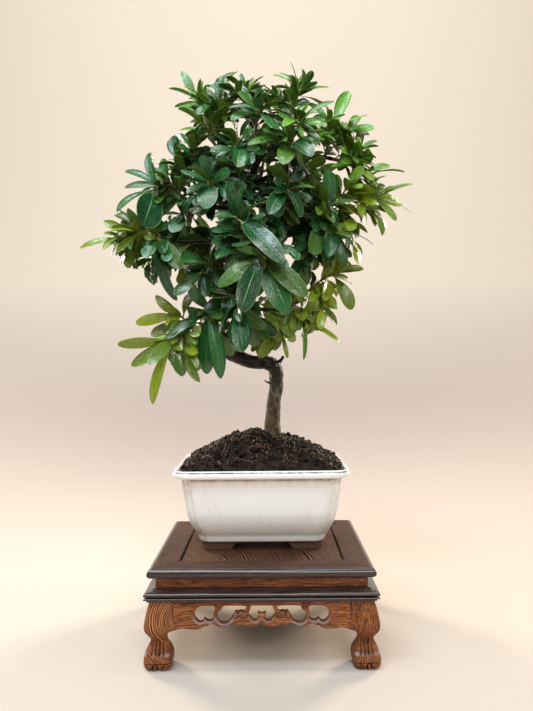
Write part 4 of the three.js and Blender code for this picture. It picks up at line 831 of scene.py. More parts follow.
def build_leg(name, sign_x, sign_y, seed):
    """A cabriole leg on a claw foot: tendons run down to a ledge of knuckles over wedge-shaped claws."""
    shank_top = APRON_Z - SEAT
    z = np.concatenate([np.linspace(0, 15, 40), np.linspace(15.6, 36, 32), np.linspace(37, shank_top, 12)])
    columns = [through(LEG_SECTIONS[:, 0], LEG_SECTIONS[:, k], z)[:, None] for k in (1, 2, 3, 4)]
    outer, inner, outer_power, power = columns
    a = (np.arange(LEG_COLUMNS) + 0.5) / LEG_COLUMNS * 2 * math.pi
    cos, sin = np.cos(a), np.sin(a)
    half, middle = (outer - inner) / 2, (outer + inner) / 2
    p = np.where((cos > 0) & (sin > 0), outer_power, power)
    reach = half / (np.abs(cos) ** p + np.abs(sin) ** p) ** (1 / p)
    # The two outward faces of the foot, and how far across each a point stands
    on_front = step(sin - np.abs(cos), -0.25, 0.1)
    on_side = step(cos - np.abs(sin), -0.25, 0.1)
    across_front = half * np.clip(cos / np.maximum(np.abs(sin), 1e-3), -1.4, 1.4)
    across_side = half * np.clip(sin / np.maximum(np.abs(cos), 1e-3), -1.4, 1.4)
    face = np.maximum(on_front, on_side)
    zc = z[:, None]
    claws = step(zc, CLAW_TOP + 0.3, CLAW_TOP - 0.5)
    knuckles = step(zc, CLAW_TOP, CLAW_TOP + 0.5) * step(zc, KNUCKLE_TOP + 0.5, KNUCKLE_TOP - 0.7)
    crease = ridge(zc, CLAW_TOP, 0.4) * face
    down = np.clip(1 - zc / CLAW_TOP, 0, 1)
    groove = tendon = 0
    for across, on in ((across_front, on_front), (across_side, on_side)):
        for top, bottom in CLAW_GAPS:
            centre = top + (bottom - top) * down
            width = 0.4 + 0.75 * down
            groove = np.maximum(groove, on * np.exp(-(((across - centre) / width) ** 4)))
        for centre in TENDON_GAPS:
            tendon = np.maximum(tendon, on * ridge(across, centre, 0.8))
    shank = step(zc, KNUCKLE_TOP - 0.3, 14.5) * step(zc, 29, 21)
    knobs = ridge(zc, KNUCKLE_TOP + 0.6, 1.3) * face
    form = claws * (0.3 - 2.9 * groove) - 0.9 * crease
    form = form + knuckles * (0.05 + 0.2 * (1 - tendon)) * face
    form = form + shank * (0.15 - 1.5 * tendon) * face + knobs * (0.45 - 1.2 * tendon)
    form = form - step(zc, 1.4, 0) * 1.3
    reach = reach + form
    x = sign_x * (middle + reach * cos)
    y = sign_y * (middle - OVERHANG + reach * sin)
    rings = np.stack([x, y, np.broadcast_to(zc, x.shape)], -1)
    points, faces = turned_out(*loft(rings))
    points = np.asarray(points)
    figure = 0.0
    if name == "front_left":
        # Rings about a heart where the leg meets the apron
        reach = np.hypot(*((points[:, [0, 2]] - LEG_HEART) * [1, 0.85]).T) / 10.5
        grain = np.column_stack([points[:, 2] / 40, reach + 2, 0 * reach])
        figure = step(points[:, 2], 20, 30)
    else:
        grain = points[:, [2, 0, 1]] / 10 + np.array([seed * 11.0, seed * 2.3, 0])
    ends = np.zeros(2)
    # Painted shade in the claw grooves, the crease over the claws and between the tendons.
    deep = np.maximum(claws * groove, np.maximum(0.75 * crease, 0.6 * (shank + 0.8 * knobs) * tendon))
    deep = np.concatenate([np.clip(deep, 0, 1).ravel(), ends])
    # Rubbed wear together with painted highlights on the knuckle caps and along the band over the claws,
    # broken up by noise.
    worn = np.concatenate([(knobs * (1 - tendon)).ravel(), ends])
    worn = (worn + 0.4 * ridge(points[:, 2], CLAW_TOP + 0.8, 0.4)) * (rough(points, 5, seed, 2) > -0.1)
    parts = Parts()
    parts.add(points, faces, grain=grain, worn=np.clip(worn, 0, 1), deep=deep, figure=figure)
    parts.make("stand_claw_leg_" + name, [BROWN_WOOD], ["stand_leg_" + name], smooth=60)


build_stand_top()
build_panel()
build_stand_waist()
for k, side in enumerate(SIDES):
    build_apron(side, k + 21)
for k, (name, sign_x, sign_y) in enumerate(
    (("front_left", -1, -1), ("front_right", 1, -1), ("back_right", 1, 1), ("back_left", -1, 1))
):
    build_leg(name, sign_x, sign_y, k + 31)


# The pot

POT_Y = 9.5
POT_FOOT_Z, POT_BASE_Z, POT_FLOOR_Z, POT_RIM_Z = 85.2, 92.7, 99, 165.4
POT_HALF = np.array([56.0, 30.0])
LIP_EDGE_Z, UNDER_LIP_Z = 163.7, 156.0
HOLE_X, HOLE_RADIUS = 27, 6
WALL_RINGS, CORNER_STEPS = 165, 24
FOOT_OUTLINE = [
    [23, 93.8], [24.5, 91.5], [28, 87.8], [30.4, POT_FOOT_Z + 0.3], [43, POT_FOOT_Z],
    [56.3, POT_FOOT_Z + 0.3], [57.2, 88], [57.6, 93.6], [41, 94.6],
]
# How far back from a foot's face, and how much smaller than its outline
FOOT_LEVELS = ((0, -0.5), (0.35, -0.12), (0.9, 0), (12.1, 0), (12.65, -0.12), (13, -0.5))
# Height, how far outside the base, and how far the corners are stepped in
POT_OUTSIDE = np.array([
    [POT_BASE_Z, 1.6, 0.4], [93.1, 3.0, 0.6], [94, 4.1, 0.9], [96, 5.0, 1.2], [98.2, 5.7, 1.6],
    [99.6, 6.2, 1.9], [104, 8.8, 2.3], [111.5, 12.5, 2.5], [120, 15.4, 2.6], [133, 17.8, 2.6],
    [147, 19.6, 2.5], [155.2, 20.5, 2.2], [156.3, 21.1, 1.9], [157.1, 23.4, 1.5], [157.6, 25.6, 1.2],
    [158.6, 27.1, 1], [160.4, 27.7, 0.9],
    [162.3, 27.7, 0.8], [163.2, 27.3, 0.7], [163.6, 26.6, 0.6], [164.0, 27, 0.5], [164.9, 26.7, 0.2],
    [POT_RIM_Z, 25.7, 0],
])
# Height and how far outside the base
POT_INSIDE = np.array([[164.9, 24.6], [164.4, 23.6], [162, 20.5], [158, 16.6], [120, 10.4], [POT_FLOOR_Z, 2]])


def pot_ring(outset, z, notch, fine=12):
    """A ring of the pot's plan: a rectangle with round corners, each stepped in by notch at its two ends."""
    hx, hy = POT_HALF + outset
    radius = 7 + 0.2 * outset
    a = np.radians(np.linspace(0, 90, fine + 1))
    stepped = step(np.degrees(a), 0, 16) * step(np.degrees(a), 90, 74)
    arm = radius - notch * stepped
    corner = np.stack([hx - radius + arm * np.cos(a), hy - radius + arm * np.sin(a)], -1)
    side = np.linspace([hx, 0], [hx, hy - radius], 5)[:-1]
    front = np.linspace([hx - radius, hy], [0, hy], 9)[1:]
    quarter = np.vstack([side, corner, front])
    right = quarter[:-1]
    left = quarter[::-1][:-1] * [-1, 1]
    plan = np.vstack([right, left, right * [-1, -1], left * [-1, -1]])
    return np.column_stack([plan[:, 0], plan[:, 1] + POT_Y, np.full(len(plan), z)])


def build_pot():
    """The glazed wall, rim and floor with its two drain holes, on four bare clay feet."""
    run = run_along(POT_OUTSIDE[:, :2])
    fine = through(run, POT_OUTSIDE, np.linspace(0, run[-1], WALL_RINGS))
    rings = [pot_ring(outset, z, max(notch, 0), CORNER_STEPS) for z, outset, notch in fine]
    rings += [pot_ring(outset, z, 0, CORNER_STEPS) for z, outset in POT_INSIDE]
    points, faces = turned_out(*loft(rings))
    # A tan line along the rim's groove.
    worn = 1.3 * ridge(points[:, 2], LIP_EDGE_Z, 0.8)
    # Painted shade in the crease under the lip.
    worn += 0.8 * ridge(points[:, 2], UNDER_LIP_Z, 0.9)
    parts = Parts()
    parts.add(points, faces, worn=worn)
    pot = parts.make("glazed_pot", [GLAZE, CLAY], ["pot"], smooth=50)
    for sign in (-1, 1):
        cutter = bmesh.new()
        place = Matrix.Translation(Vector(metres([HOLE_X * sign, POT_Y, 96])))
        wide = HOLE_RADIUS * MM
        bmesh.ops.create_cone(
            cutter, cap_ends=True, segments=32, radius1=wide, radius2=wide, depth=24 * MM, matrix=place
        )
        mesh = bpy.data.meshes.new("hole")
        cutter.to_mesh(mesh)
        cutter.free()
        tool = shown("hole", mesh)
        cut = pot.modifiers.new("hole", "BOOLEAN")
        cut.operation = "DIFFERENCE"
        cut.object = tool
        apply(pot)
        bpy.data.objects.remove(tool)
    outline = resampled(round_loop(FOOT_OUTLINE, 5), 1.0)
    outline[:, 1] = np.maximum(outline[:, 1], POT_FOOT_Z)
    middle = outline.mean(0)
    feet = Parts()
    for sign_x in (-1, 1):
        for sign_y in (-1, 1):
            rings = []
            for back, grow in FOOT_LEVELS:
                loop = middle + (outline - middle) * (1 + grow / 16)
                y = POT_Y + sign_y * (POT_HALF[1] - 1 - back)
                rings.append(np.column_stack([sign_x * loop[:, 0], np.full(len(loop), y), loop[:, 1]]))
            feet.add(*turned_out(*capped(rings)), kind=0)
    feet.make("pot_feet", [CLAY], smooth=40)


build_pot()

def screen_material():
    n = Nodes("screen")
    thread = n.noise(n.place(), 900.0, 2.0)
    base = n.mix(thread, (0.008, 0.008, 0.008), (0.03, 0.03, 0.028))
    return n.finish(base, 0.55, n.bump(thread, 0.0001))


SCREEN = screen_material()
for side in ("left", "right"):
    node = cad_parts["drain_screen_" + side]
    node.data.materials.clear()
    node.data.materials.append(SCREEN)


# The soil

SOIL_RISE, SOIL_APEX = 33, np.array([-5.0, POT_Y])
EARTH_EDGE_Z, SOIL_OUTSET = 164.4, 23.2
CRUMBS, FIBRES, FIBRE_STEPS = 4700, 250, 7
# Crumbs and fibres keep clear of the trunk's foot: its middle and their distance from it
TRUNK_FOOT, TRUNK_REACH = np.array([12, 10]), 9.5
# Steps round each corner of the mound's rings, and how many rings lead from the wall to the top
SOIL_STEPS, SOIL_RINGS = 30, 74
LOW_RINGS = ((POT_FLOOR_Z + 1.6, 2.4), (120, 9.6), (158, 15.8))
CRUMB_SPREAD, FIBRE_SPREAD = [84, 58], [72, 46]


def mound(share):
    """The mound's plain height at a share of the way from its top to the wall."""
    return EARTH_EDGE_Z - 0.4 + SOIL_RISE * (1 - share**1.5)


def soil_top(points):
    """Share of the way from the mound's top to the wall, and the mound's plain height, at plan points."""
    edge = pot_ring(SOIL_OUTSET - 0.6, 0, 0)[:, :2]
    way = points - SOIL_APEX
    angle = np.arctan2(way[:, 1], way[:, 0])
    rim_way = edge - SOIL_APEX
    rim_angle = np.arctan2(rim_way[:, 1], rim_way[:, 0])
    order = np.argsort(rim_angle)
    reach = np.interp(angle, rim_angle[order], np.linalg.norm(rim_way, axis=1)[order], period=2 * math.pi)
    share = np.linalg.norm(way, axis=1) / reach
    return share, mound(share)


def soil_relief(points):
    """Clods and crumbs, in millimetres of height."""
    flat = np.column_stack([points, np.zeros(len(points))])
    clods = rough(flat, 13, 1, 2) * 2.0
    crumbs = np.abs(rough(flat, 4.6, 2, 3)) * 3.6
    return clods + crumbs - 1.4


def calm(share):
    """How much of the relief is left near the wall."""
    return np.minimum(1, (1 - share) * 12 + 0.25)


def add_crumbs(parts, state):
    """Small uneven lumps, each sunk a little into the mound, and a pale grain here and there."""
    lump, lump_faces = ball()
    places = SOIL_APEX + state.uniform(-1, 1, (CRUMBS, 2)) * CRUMB_SPREAD
    share, plain = soil_top(places)
    good = (share < 0.985) & (np.linalg.norm(places - TRUNK_FOOT, axis=1) > TRUNK_REACH)
    places, share, plain = places[good], share[good], plain[good]
    heights = plain + soil_relief(places) * calm(share)
    for place, z in zip(places, heights):
        size = 0.6 + 2.3 * state.rand() ** 3.2
        stretch = state.uniform(0.6, 1.25, 3) * size
        uneven = lump * stretch * (1 + 0.45 * (state.rand(len(lump), 1) - 0.5))
        turn = np.linalg.qr(state.randn(3, 3))[0]
        kind = 2 if state.rand() < 0.008 else 0
        shrink = 0.45 if kind == 2 else 1.0
        at = np.array([*place, z + 0.25 * size])
        parts.add(uneven * shrink @ turn.T + at, lump_faces, kind=kind, tone=0.2 + 1.9 * state.rand() ** 3)


def add_fibres(parts, state):
    """Root fibres that lie over the crumbs."""
    for _ in range(FIBRES):
        start = SOIL_APEX + state.uniform(-1, 1, 2) * FIBRE_SPREAD
        heading = state.uniform(0, 2 * math.pi)
        length = 3 + 13 * state.rand() ** 2
        turning = state.uniform(-0.2, 0.2)
        line = [start]
        for _ in range(FIBRE_STEPS):
            heading += turning + state.uniform(-0.25, 0.25)
            line.append(line[-1] + length / FIBRE_STEPS * np.array([math.cos(heading), math.sin(heading)]))
        line = np.array(line)
        share, plain = soil_top(line)
        if share.max() > 0.97 or np.linalg.norm(line - TRUNK_FOOT, axis=1).min() < TRUNK_REACH + 0.5:
            continue
        arc = np.sin(np.linspace(0, math.pi, FIBRE_STEPS + 1)) * state.uniform(0, 1.6)
        z = plain + soil_relief(line) + 0.9 + arc
        radii = np.linspace(0.26, 0.12, FIBRE_STEPS + 1) * state.uniform(0.6, 1.3)
        parts.add(*loft(tube(np.column_stack([line, z]), radii, 4)), kind=1, tone=1.0)


def build_soil():
    """The mound as one skin, with crumbs, pale grains and root fibres on it."""
    edge = pot_ring(SOIL_OUTSET, 0, 0, SOIL_STEPS)[:, :2]
    rings = [pot_ring(outset, z, 0, SOIL_STEPS) for z, outset in LOW_RINGS]
    for share in np.linspace(1, 0.012, SOIL_RINGS):
        flat = SOIL_APEX + (edge - SOIL_APEX) * share
        z = mound(share) + soil_relief(flat) * calm(share)
        rings.append(np.column_stack([flat, z]))
    points, faces = turned_out(*loft(rings))
    parts = Parts()
    parts.add(points, faces, kind=0, tone=0.5)
    state = np.random.RandomState(77)
    add_crumbs(parts, state)
    add_fibres(parts, state)
    parts.make("soil_mound", [EARTH, FIBRE, GRIT], ["soil"], smooth=50)


build_soil()


# The trunk and its branches

BARK_GRID, RING_GAP = 0.8, 2.2
# Places on the middle line, with the radius at each
TRUNK = [
    [12, 10, 150, 5], [12, 10, 172, 9.5], [11, 10, 197, 8.6], [12.5, 10, 223, 7], [15.5, 9, 246, 7.2],
    [13.5, 8, 261, 7.6], [4, 7, 266, 7.2], [-8, 6, 266, 6.8], [-21, 4, 271, 7], [-34, 2, 278, 7.4],
    [-42, 0, 291, 7.2], [-41, 2, 309, 6.8], [-31, 6, 331, 6.6], [-25, 8, 356, 6.8], [-31, 8, 380, 7.8],
    [-36, 8, 398, 7], [-27, 8, 423, 5.6], [-11, 8, 446, 4.7], [-3, 6, 471, 3.9], [-5, 5, 496, 3.1],
    [-10, 4, 514, 2.5], [-12, 4, 524, 2.2],
]
BRANCHES = {
    "trunk": TRUNK,
    "left_low": [[-43, 0, 290, 3.4], [-58, -8, 287, 2.6], [-70, -14, 290, 1.9]],
    "left_mid": [[-37, 8, 392, 2.6], [-61, 0, 387, 2], [-82, -11, 385, 1.8], [-100, -20, 387, 1.5]],
    "left_up": [[-27, 8, 420, 3], [-53, -6, 424, 2.4], [-76, -16, 436, 1.8]],
    "top_left": [[-3, 6, 468, 2.8], [-25, 0, 489, 2.3], [-44, -3, 508, 1.7]],
    "top_right": [[-3, 6, 469, 2.8], [18, 3, 489, 2.3], [32, 2, 508, 1.7]],
    "right_up": [[-11, 8, 444, 3.2], [24, 4, 460, 2.6], [56, 0, 472, 2.2], [80, -3, 467, 1.7]],
    "right_mid": [[-27, 8, 420, 3.2], [12, 0, 407, 2.6], [42, -7, 408, 2.1], [58, -12, 411, 1.7]],
    "right_low": [[-31, 6, 329, 3], [-2, 4, 320, 2.5], [24, 2, 319, 2.1], [40, 2, 328, 1.7]],
    "front": [[-31, 6, 379, 3.4], [-23, -28, 374, 2.6], [-13, -52, 371, 2]],
    "back_up": [[-11, 8, 446, 3], [0, 36, 462, 2.3], [4, 58, 486, 1.7]],
    "back_low": [[-31, 8, 379, 3.2], [-24, 36, 379, 2.5], [-18, 60, 388, 1.9]],
}
# Start, end and the radius at each
STUBS = [
    ([12, 9, 243], [3, 5, 247.5], 1.3, 0.9),
    ([1, 7, 267], [-0.5, 7, 277], 1.4, 0.8),
    ([16, 8, 262], [23, 6, 272], 2.4, 1.7),
]


def build_trunk():
    """Tubes fused by a remesh into one skin, then worked over with ridges and knots."""
    parts = Parts()
    for name, line in BRANCHES.items():
        line = np.array(line, float)
        run = run_along(line[:, :3])
        at = np.linspace(0, run[-1], int(run[-1] / RING_GAP) + 2)
        fine = through(run, line, at)
        radii, sides = fine[:, 3], 20
        if name != "trunk":
            # A branch is wider where it leaves the trunk
            radii, sides = radii * (1 + 0.7 * np.exp(-at / 7)), 12
        parts.add(*loft(tube(fine[:, :3], radii, sides)))
    for start, end, wide, narrow in STUBS:
        line = np.linspace(start, end, 7)
        radii = np.linspace(wide, narrow, 7) * (1 + 0.5 * np.exp(-np.arange(7) / 1.5))
        parts.add(*loft(tube(line, radii, 10)))
    trunk = parts.make("bark_trunk", [BARK], ["trunk"], smooth=180)
    fuse = trunk.modifiers.new("fuse", "REMESH")
    fuse.mode = "VOXEL"
    fuse.voxel_size = BARK_GRID * MM
    ease = trunk.modifiers.new("ease", "SMOOTH")
    ease.factor = 0.5
    ease.iterations = 4
    apply(trunk)
    mesh = trunk.data
    points, normals = np.zeros((2, 3 * len(mesh.vertices)))
    mesh.vertices.foreach_get("co", points)
    mesh.vertices.foreach_get("normal", normals)
    places = points.reshape(-1, 3) / MM
    ridges = rough(places * [1, 1, 0.45], 2.6, 5, 3) * 0.42
    knots = rough(places, 9, 6, 2) * 0.5
    points += normals * np.repeat(ridges + knots, 3) * MM
    mesh.vertices.foreach_set("co", points)
    mesh.update()
    smoothed(mesh)


build_trunk()


# The leafy sprays

CROWN_CENTRE = np.array([-15.0, 0.0, 400.0])
CROWN_HEART, CROWN_REACH = np.array([-12.0, 12, 412]), np.array([118.0, 86, 128])
GOLDEN_ANGLE = 2.399963
LONGEST_BLADE = 58
TWIG_LEAVES, FORK_LEAVES = 13, 6
BLADE_ARCH, TIP_WIDTH, TIP_MATCH = 0.28, 0.35, 0.03
# Leaves turn their upper faces away from these places: those in front of BACK_FROM, and those behind it
FRONT_SOURCE, BACK_SOURCE, BACK_FROM = np.array([-15.0, 130, 350]), np.array([-15.0, -90, 350]), 30

# Each spray: branch, how far along it, the twig's end, longest leaf, side twigs' ends, outline leaf tips as
# [x, y, z, width as a share of length], and how young its leaves look.
SPRAYS = {
    "far_left": ("left_mid", 1, [-134, -22, 387], 30, [],
        [[-174, -26, 380, 0.28], [-141, -34, 370, 0.2], [-134, -8, 402, 0.45], [-150, -12, 388, 0.22],
         [-128, -24, 364, 0.2]], 0.55),
    "left_drop": ("left_mid", 0.72, [-97, -40, 384], 32, [[-104, -24, 362]],
        [[-102, -60, 361, 0.62], [-72, -52, 353, 0.46], [-83, -30, 325, 0.24], [-93, -24, 356, 0.4],
         [-119, -44, 362, 0.4]], 0.2),
    "left_mid": ("left_up", 1, [-101, -32, 431], 30, [[-64, -34, 404]],
        [[-103, -52, 391, 0.72], [-136, -34, 411, 0.4], [-109, -18, 473, 0.36], [-132, -12, 456, 0.25],
         [-129, -24, 436, 0.3]], 0.25),
    "left_top": ("left_up", 0.8, [-76, -18, 461], 28, [[-60, -24, 482]],
        [[-84, -10, 491, 0.75], [-58, -48, 462, 0.45], [-95, -34, 457, 0.4]], 0.15),
    "top_left": ("top_left", 1, [-62, 0, 530], 28, [[-58, -8, 492]],
        [[-77, 0, 560, 0.36], [-89, -6, 545, 0.24], [-87, 8, 532, 0.3], [-58, 12, 556, 0.32],
         [-70, -26, 512, 0.4]], 0.75),
    "top_centre_left": ("top_left", 0.75, [-40, -14, 524], 28, [[-46, -24, 486]],
        [[-35, -8, 553, 0.45], [-22, 6, 562, 0.36], [-58, -38, 503, 0.4], [-17, -34, 516, 0.4]], 0.4),
    "top_centre": ("trunk", 1, [-13, 3, 541], 26, [[8, -6, 530]],
        [[-6, 8, 556, 0.5], [-18, 8, 559, 0.34], [6, -20, 530, 0.4], [-30, 24, 548, 0.4]], 0.5),
    "top_mid": ("trunk", 0.9, [3, -40, 502], 30, [[-22, -30, 526]],
        [[-26, -58, 498, 0.34], [7, -56, 514, 0.4], [22, -52, 507, 0.24], [-24, -66, 486, 0.24],
         [15, -76, 476, 0.4]], 0.25),
    "top_right": ("top_right", 1, [39, 4, 545], 28, [[18, -8, 526]],
        [[15, 4, 557, 0.36], [23, 13, 566, 0.26], [33, -2, 563, 0.46], [50, 10, 566, 0.3],
         [15, -10, 540, 0.24], [71, 0, 542, 0.4], [70, 18, 531, 0.4]], 0.55),
    "right_top_front": ("top_right", 0.7, [39, -42, 489], 32, [[60, -30, 482]],
        [[13, -62, 498, 0.22], [71, -42, 511, 0.2], [24, -76, 476, 0.24], [63, -58, 484, 0.3],
         [47, -28, 513, 0.36]], 0.6),
    "right_top_low": ("right_up", 0.35, [31, -52, 468], 34, [[48, -34, 446]],
        [[7, -76, 473, 0.24], [-9, -64, 464, 0.3], [47, -80, 450, 0.44], [22, -78, 441, 0.4]], 0.35),
    "upper_right": ("right_up", 0.8, [75, -5, 497], 32, [[94, -6, 496]],
        [[91, 0, 540, 0.36], [108, -10, 510, 0.34], [50, 6, 532, 0.26], [60, -34, 480, 0.4],
         [90, -36, 484, 0.4]], 0.6),
    "right_brown": ("right_up", 1, [96, -2, 472], 30, [],
        [[104, 6, 502, 0.36], [92, -16, 492, 0.5], [119, -6, 480, 0.4], [77, -28, 452, 0.4]], 0.4),
    "far_right_up": ("right_up", 0.9, [108, -14, 446], 30, [[96, -24, 462]],
        [[129, -8, 462, 0.3], [142, -16, 450, 0.3], [70, -34, 453, 0.24], [86, -38, 437, 0.3],
         [106, 14, 468, 0.4]], 0.65),
    "far_right": ("right_mid", 1, [118, -8, 428], 32, [[92, -14, 384]],
        [[151, -12, 440, 0.3], [150, -16, 411, 0.34], [131, -28, 401, 0.4], [115, -20, 399, 0.4],
         [151, 10, 430, 0.34], [97, -34, 406, 0.4]], 0.75),
    "right_mid": ("right_mid", 0.8, [67, -24, 417], 32, [],
        [[66, -34, 446, 0.62], [40, -48, 416, 0.22], [90, -38, 418, 0.26], [99, -4, 391, 0.5],
         [53, -48, 390, 0.5]], 0.35),
    "right_mid_low": ("right_mid", 0.65, [68, -30, 389], 32, [[44, -22, 366]],
        [[86, -46, 384, 0.5], [66, -54, 364, 0.54], [99, -22, 373, 0.4], [82, -36, 358, 0.5],
         [49, -54, 366, 0.5]], 0.2),
    "right_low_out": ("right_low", 1, [76, 0, 354], 30, [[62, -16, 314]],
        [[104, 0, 359, 0.44], [92, -6, 318, 0.46], [96, 18, 348, 0.4], [63, -28, 325, 0.4],
         [66, -22, 376, 0.4]], 0.8),
    "right_low": ("right_low", 0.85, [44, -5, 307], 32, [],
        [[80, -8, 287, 0.2], [61, -22, 296, 0.44], [44, -14, 269, 0.22], [56, -22, 326, 0.4],
         [33, -42, 331, 0.4]], 0.7),
    "low_right": ("right_low", 0.45, [20, 6, 297], 30, [[2, 10, 290]],
        [[27, 0, 270, 0.24], [-2, -2, 271, 0.46], [10, 24, 277, 0.4], [38, 26, 287, 0.4]], 0.65),
    "low_centre": ("trunk", 0.57, [-20, -44, 318], 34, [[-2, -34, 300]],
        [[-15, -64, 276, 0.62], [5, -62, 297, 0.4], [-38, -62, 290, 0.5], [0, -62, 330, 0.4]], 0.1),
    "low_left_centre": ("trunk", 0.5, [-50, -20, 318], 36, [],
        [[-38, -32, 252, 0.36], [-53, -20, 255, 0.46], [-88, -42, 290, 0.24], [-66, -36, 340, 0.5],
         [-28, -8, 272, 0.46]], 0.2),
    "low_left": ("left_low", 1, [-87, -24, 288], 32, [[-70, -34, 270]],
        [[-137, -28, 284, 0.3], [-122, -32, 264, 0.34], [-101, -46, 266, 0.4], [-106, -30, 228, 0.26],
         [-72, -46, 255, 0.44]], 0.6),
    "low_left_up": ("left_low", 0.6, [-81, -6, 314], 30, [[-94, 10, 300]],
        [[-123, -12, 306, 0.34], [-103, -14, 332, 0.42], [-68, 8, 339, 0.5], [-114, 18, 295, 0.3]], 0.65),
    "left_inner": ("trunk", 0.635, [-54, -32, 353], 30, [],
        [[-79, -48, 330, 0.5], [-50, -44, 328, 0.5], [-68, -60, 360, 0.6], [-42, -56, 374, 0.5]], 0.1),
    "front_up": ("front", 0.9, [-19, -80, 393], 32, [],
        [[-36, -98, 389, 0.66], [20, -114, 352, 0.44], [-25, -88, 422, 0.46], [-12, -98, 416, 0.3],
         [4, -100, 402, 0.5]], 0.1),
    "front_low": ("front", 1, [7, -90, 355], 36, [],
        [[-17, -106, 362, 0.34], [-33, -102, 332, 0.34], [-13, -116, 310, 0.44], [40, -106, 323, 0.42],
         [24, -96, 308, 0.5]], 0.1),
    "front_left": ("left_up", 0.35, [-44, -58, 430], 32, [[-14, -36, 436]],
        [[-62, -76, 416, 0.5], [-46, -82, 400, 0.56], [-70, -62, 440, 0.4], [-26, -84, 434, 0.44]], 0.1),
    "front_right": ("right_mid", 0.4, [26, -62, 422], 32, [[14, -44, 404]],
        [[36, -84, 392, 0.5], [10, -86, 396, 0.44], [48, -76, 420, 0.44], [18, -88, 438, 0.44]], 0.12),
    "front_top": ("top_left", 0.35, [-20, -52, 462], 30, [[-30, -40, 440]],
        [[-42, -72, 454, 0.44], [-4, -78, 444, 0.44], [-32, -62, 478, 0.4], [-18, -80, 438, 0.4]], 0.15),
    "back_top": ("back_up", 1, [6, 66, 512], 32, [[-14, 74, 506]],
        [[-4, 84, 538, 0.4], [28, 82, 530, 0.4]], 0.5),
    "back_left_up": ("back_up", 0.5, [-48, 58, 476], 32, [[-56, 66, 448]],
        [[-80, 70, 490, 0.4], [-66, 86, 462, 0.44]], 0.3),
    "back_right_up": ("back_up", 0.7, [56, 58, 468], 32, [[58, 74, 444]],
        [[86, 70, 486, 0.4], [74, 86, 454, 0.44]], 0.4),
    "back_left": ("back_low", 0.6, [-70, 56, 400], 32, [[-88, 50, 376]],
        [[-108, 60, 410, 0.4], [-94, 82, 386, 0.46]], 0.3),
    "back_right": ("right_mid", 0.3, [56, 50, 402], 32, [[76, 50, 376]],
        [[92, 60, 408, 0.4], [82, 78, 384, 0.46]], 0.4),
    "back_mid": ("back_low", 1, [-12, 88, 420], 34, [[-2, 90, 386]],
        [[-20, 112, 444, 0.4], [8, 110, 400, 0.46]], 0.3),
    "back_low_left": ("back_low", 0.8, [-40, 72, 348], 32, [],
        [[-62, 92, 322, 0.44], [-76, 66, 336, 0.4]], 0.4),
    "back_low_right": ("right_low", 0.3, [16, 52, 336], 32, [],
        [[38, 72, 312, 0.44], [48, 52, 334, 0.4]], 0.5),
}
WITHERED = {("right_brown", 0)}


def on_branch(name, share):
    """The place at a share of the way through a branch's points."""
    line = np.array(BRANCHES[name], float)[:, :3]
    place = share * (len(line) - 1)
    k = min(int(place), len(line) - 2)
    return line[k] + (line[k + 1] - line[k]) * (place - k)


def twig_point(start, end, t):
    """A place on a twig, which arches a little upwards."""
    return start + (end - start) * t + UP * 0.4 * t * (1 - t) * np.linalg.norm(end - start)


def twig_lines(spray):
    """The two ends of a spray's main twig and of each side twig."""
    branch, at, end, _, forks = spray[:5]
    start, end = on_branch(branch, at), np.array(end, float)
    side = [(twig_point(start, end, 0.3 + 0.25 * i), np.array(fork, float)) for i, fork in enumerate(forks)]
    return [(start, end), *side]


def turned(v, axis, angle):
    """v turned about a unit axis."""
    cos, sin = math.cos(angle), math.sin(angle)
    return v * cos + np.cross(axis, v) * sin + axis * axis.dot(v) * (1 - cos)


def leaf_place(foot, tip, roll, share):
    """Foot, tip, the way along and the way the upper face looks, with the width."""
    along = unit(tip - foot)
    source = BACK_SOURCE if foot[1] > BACK_FROM else FRONT_SOURCE
    face = unit(foot - source) + 0.4 * UP
    normal = turned(unit(face - along * face.dot(along)), along, roll)
    return foot, tip, along, normal, share


def leaf_way(line, t, a, spread):
    """The way a leaf points at t along a twig, turned by a round it."""
    foot = twig_point(*line, t)
    along = unit(twig_point(*line, t + 0.05) - foot)
    side = unit(np.cross(along, UP))
    other = np.cross(along, side)
    lift = np.clip((foot[2] - 440) / 200, -0.6, 0.3)
    outward = unit(foot - CROWN_CENTRE)
    way = along * math.cos(spread) + (side * math.cos(a) + other * math.sin(a)) * math.sin(spread)
    return foot, unit(way + 0.4 * outward + lift * UP)


def leaf_trials(spray, seed):
    """The places tried for each leaf of the spray, in order, as the solids have them."""
    random = sequence(seed)
    tips = spray[5]
    lines = twig_lines(spray)
    leaves = []
    for i, (x, y, z, share) in enumerate(tips):
        foot = twig_point(*lines[0], 1 - 0.4 * i / len(tips))
        roll = 0.5 * (next(random) - 0.5)
        trials = [leaf_place(foot, np.array([x, y + 4.0 * k, z]), roll + 0.3 * k, share)
                  for k in (0, 1, -1, 2, -2, 3, -3)]
        leaves.append(trials)
    for which, line in enumerate(lines):
        fill = FORK_LEAVES if which else TWIG_LEAVES - len(tips)
        first = 0.4 if which else 0.25
        turn = 6.28 * next(random)
        for j in range(fill):
            t = first + (1 - first) * (j + 0.5) / fill
            spread = 1.2 - 0.5 * t + 0.3 * next(random)
            reach = spray[3] * (0.7 + 0.3 * next(random))
            share = 0.38 + 0.16 * next(random)
            roll = 0.8 * (next(random) - 0.5)
            trials = []
            for k in range(7):
                foot, way = leaf_way(line, t, turn + GOLDEN_ANGLE * j + 0.9 * k, spread)
                trials.append(leaf_place(foot, foot + way * reach * (1 - 0.06 * k), roll, share))
            leaves.append(trials)
    return leaves


def built_place(trials, tree):
    """The trial that the spray's solid really has, found by its blunt tip, or nothing."""
    for place in trials:
        foot, tip, along, normal, share = place
        half = share * min(np.linalg.norm(tip - foot), LONGEST_BLADE) / 2
        corner = tip + np.cross(along, normal) * TIP_WIDTH * half
        if tree.find(metres(corner))[2] < TIP_MATCH * MM:
            return place
    return None


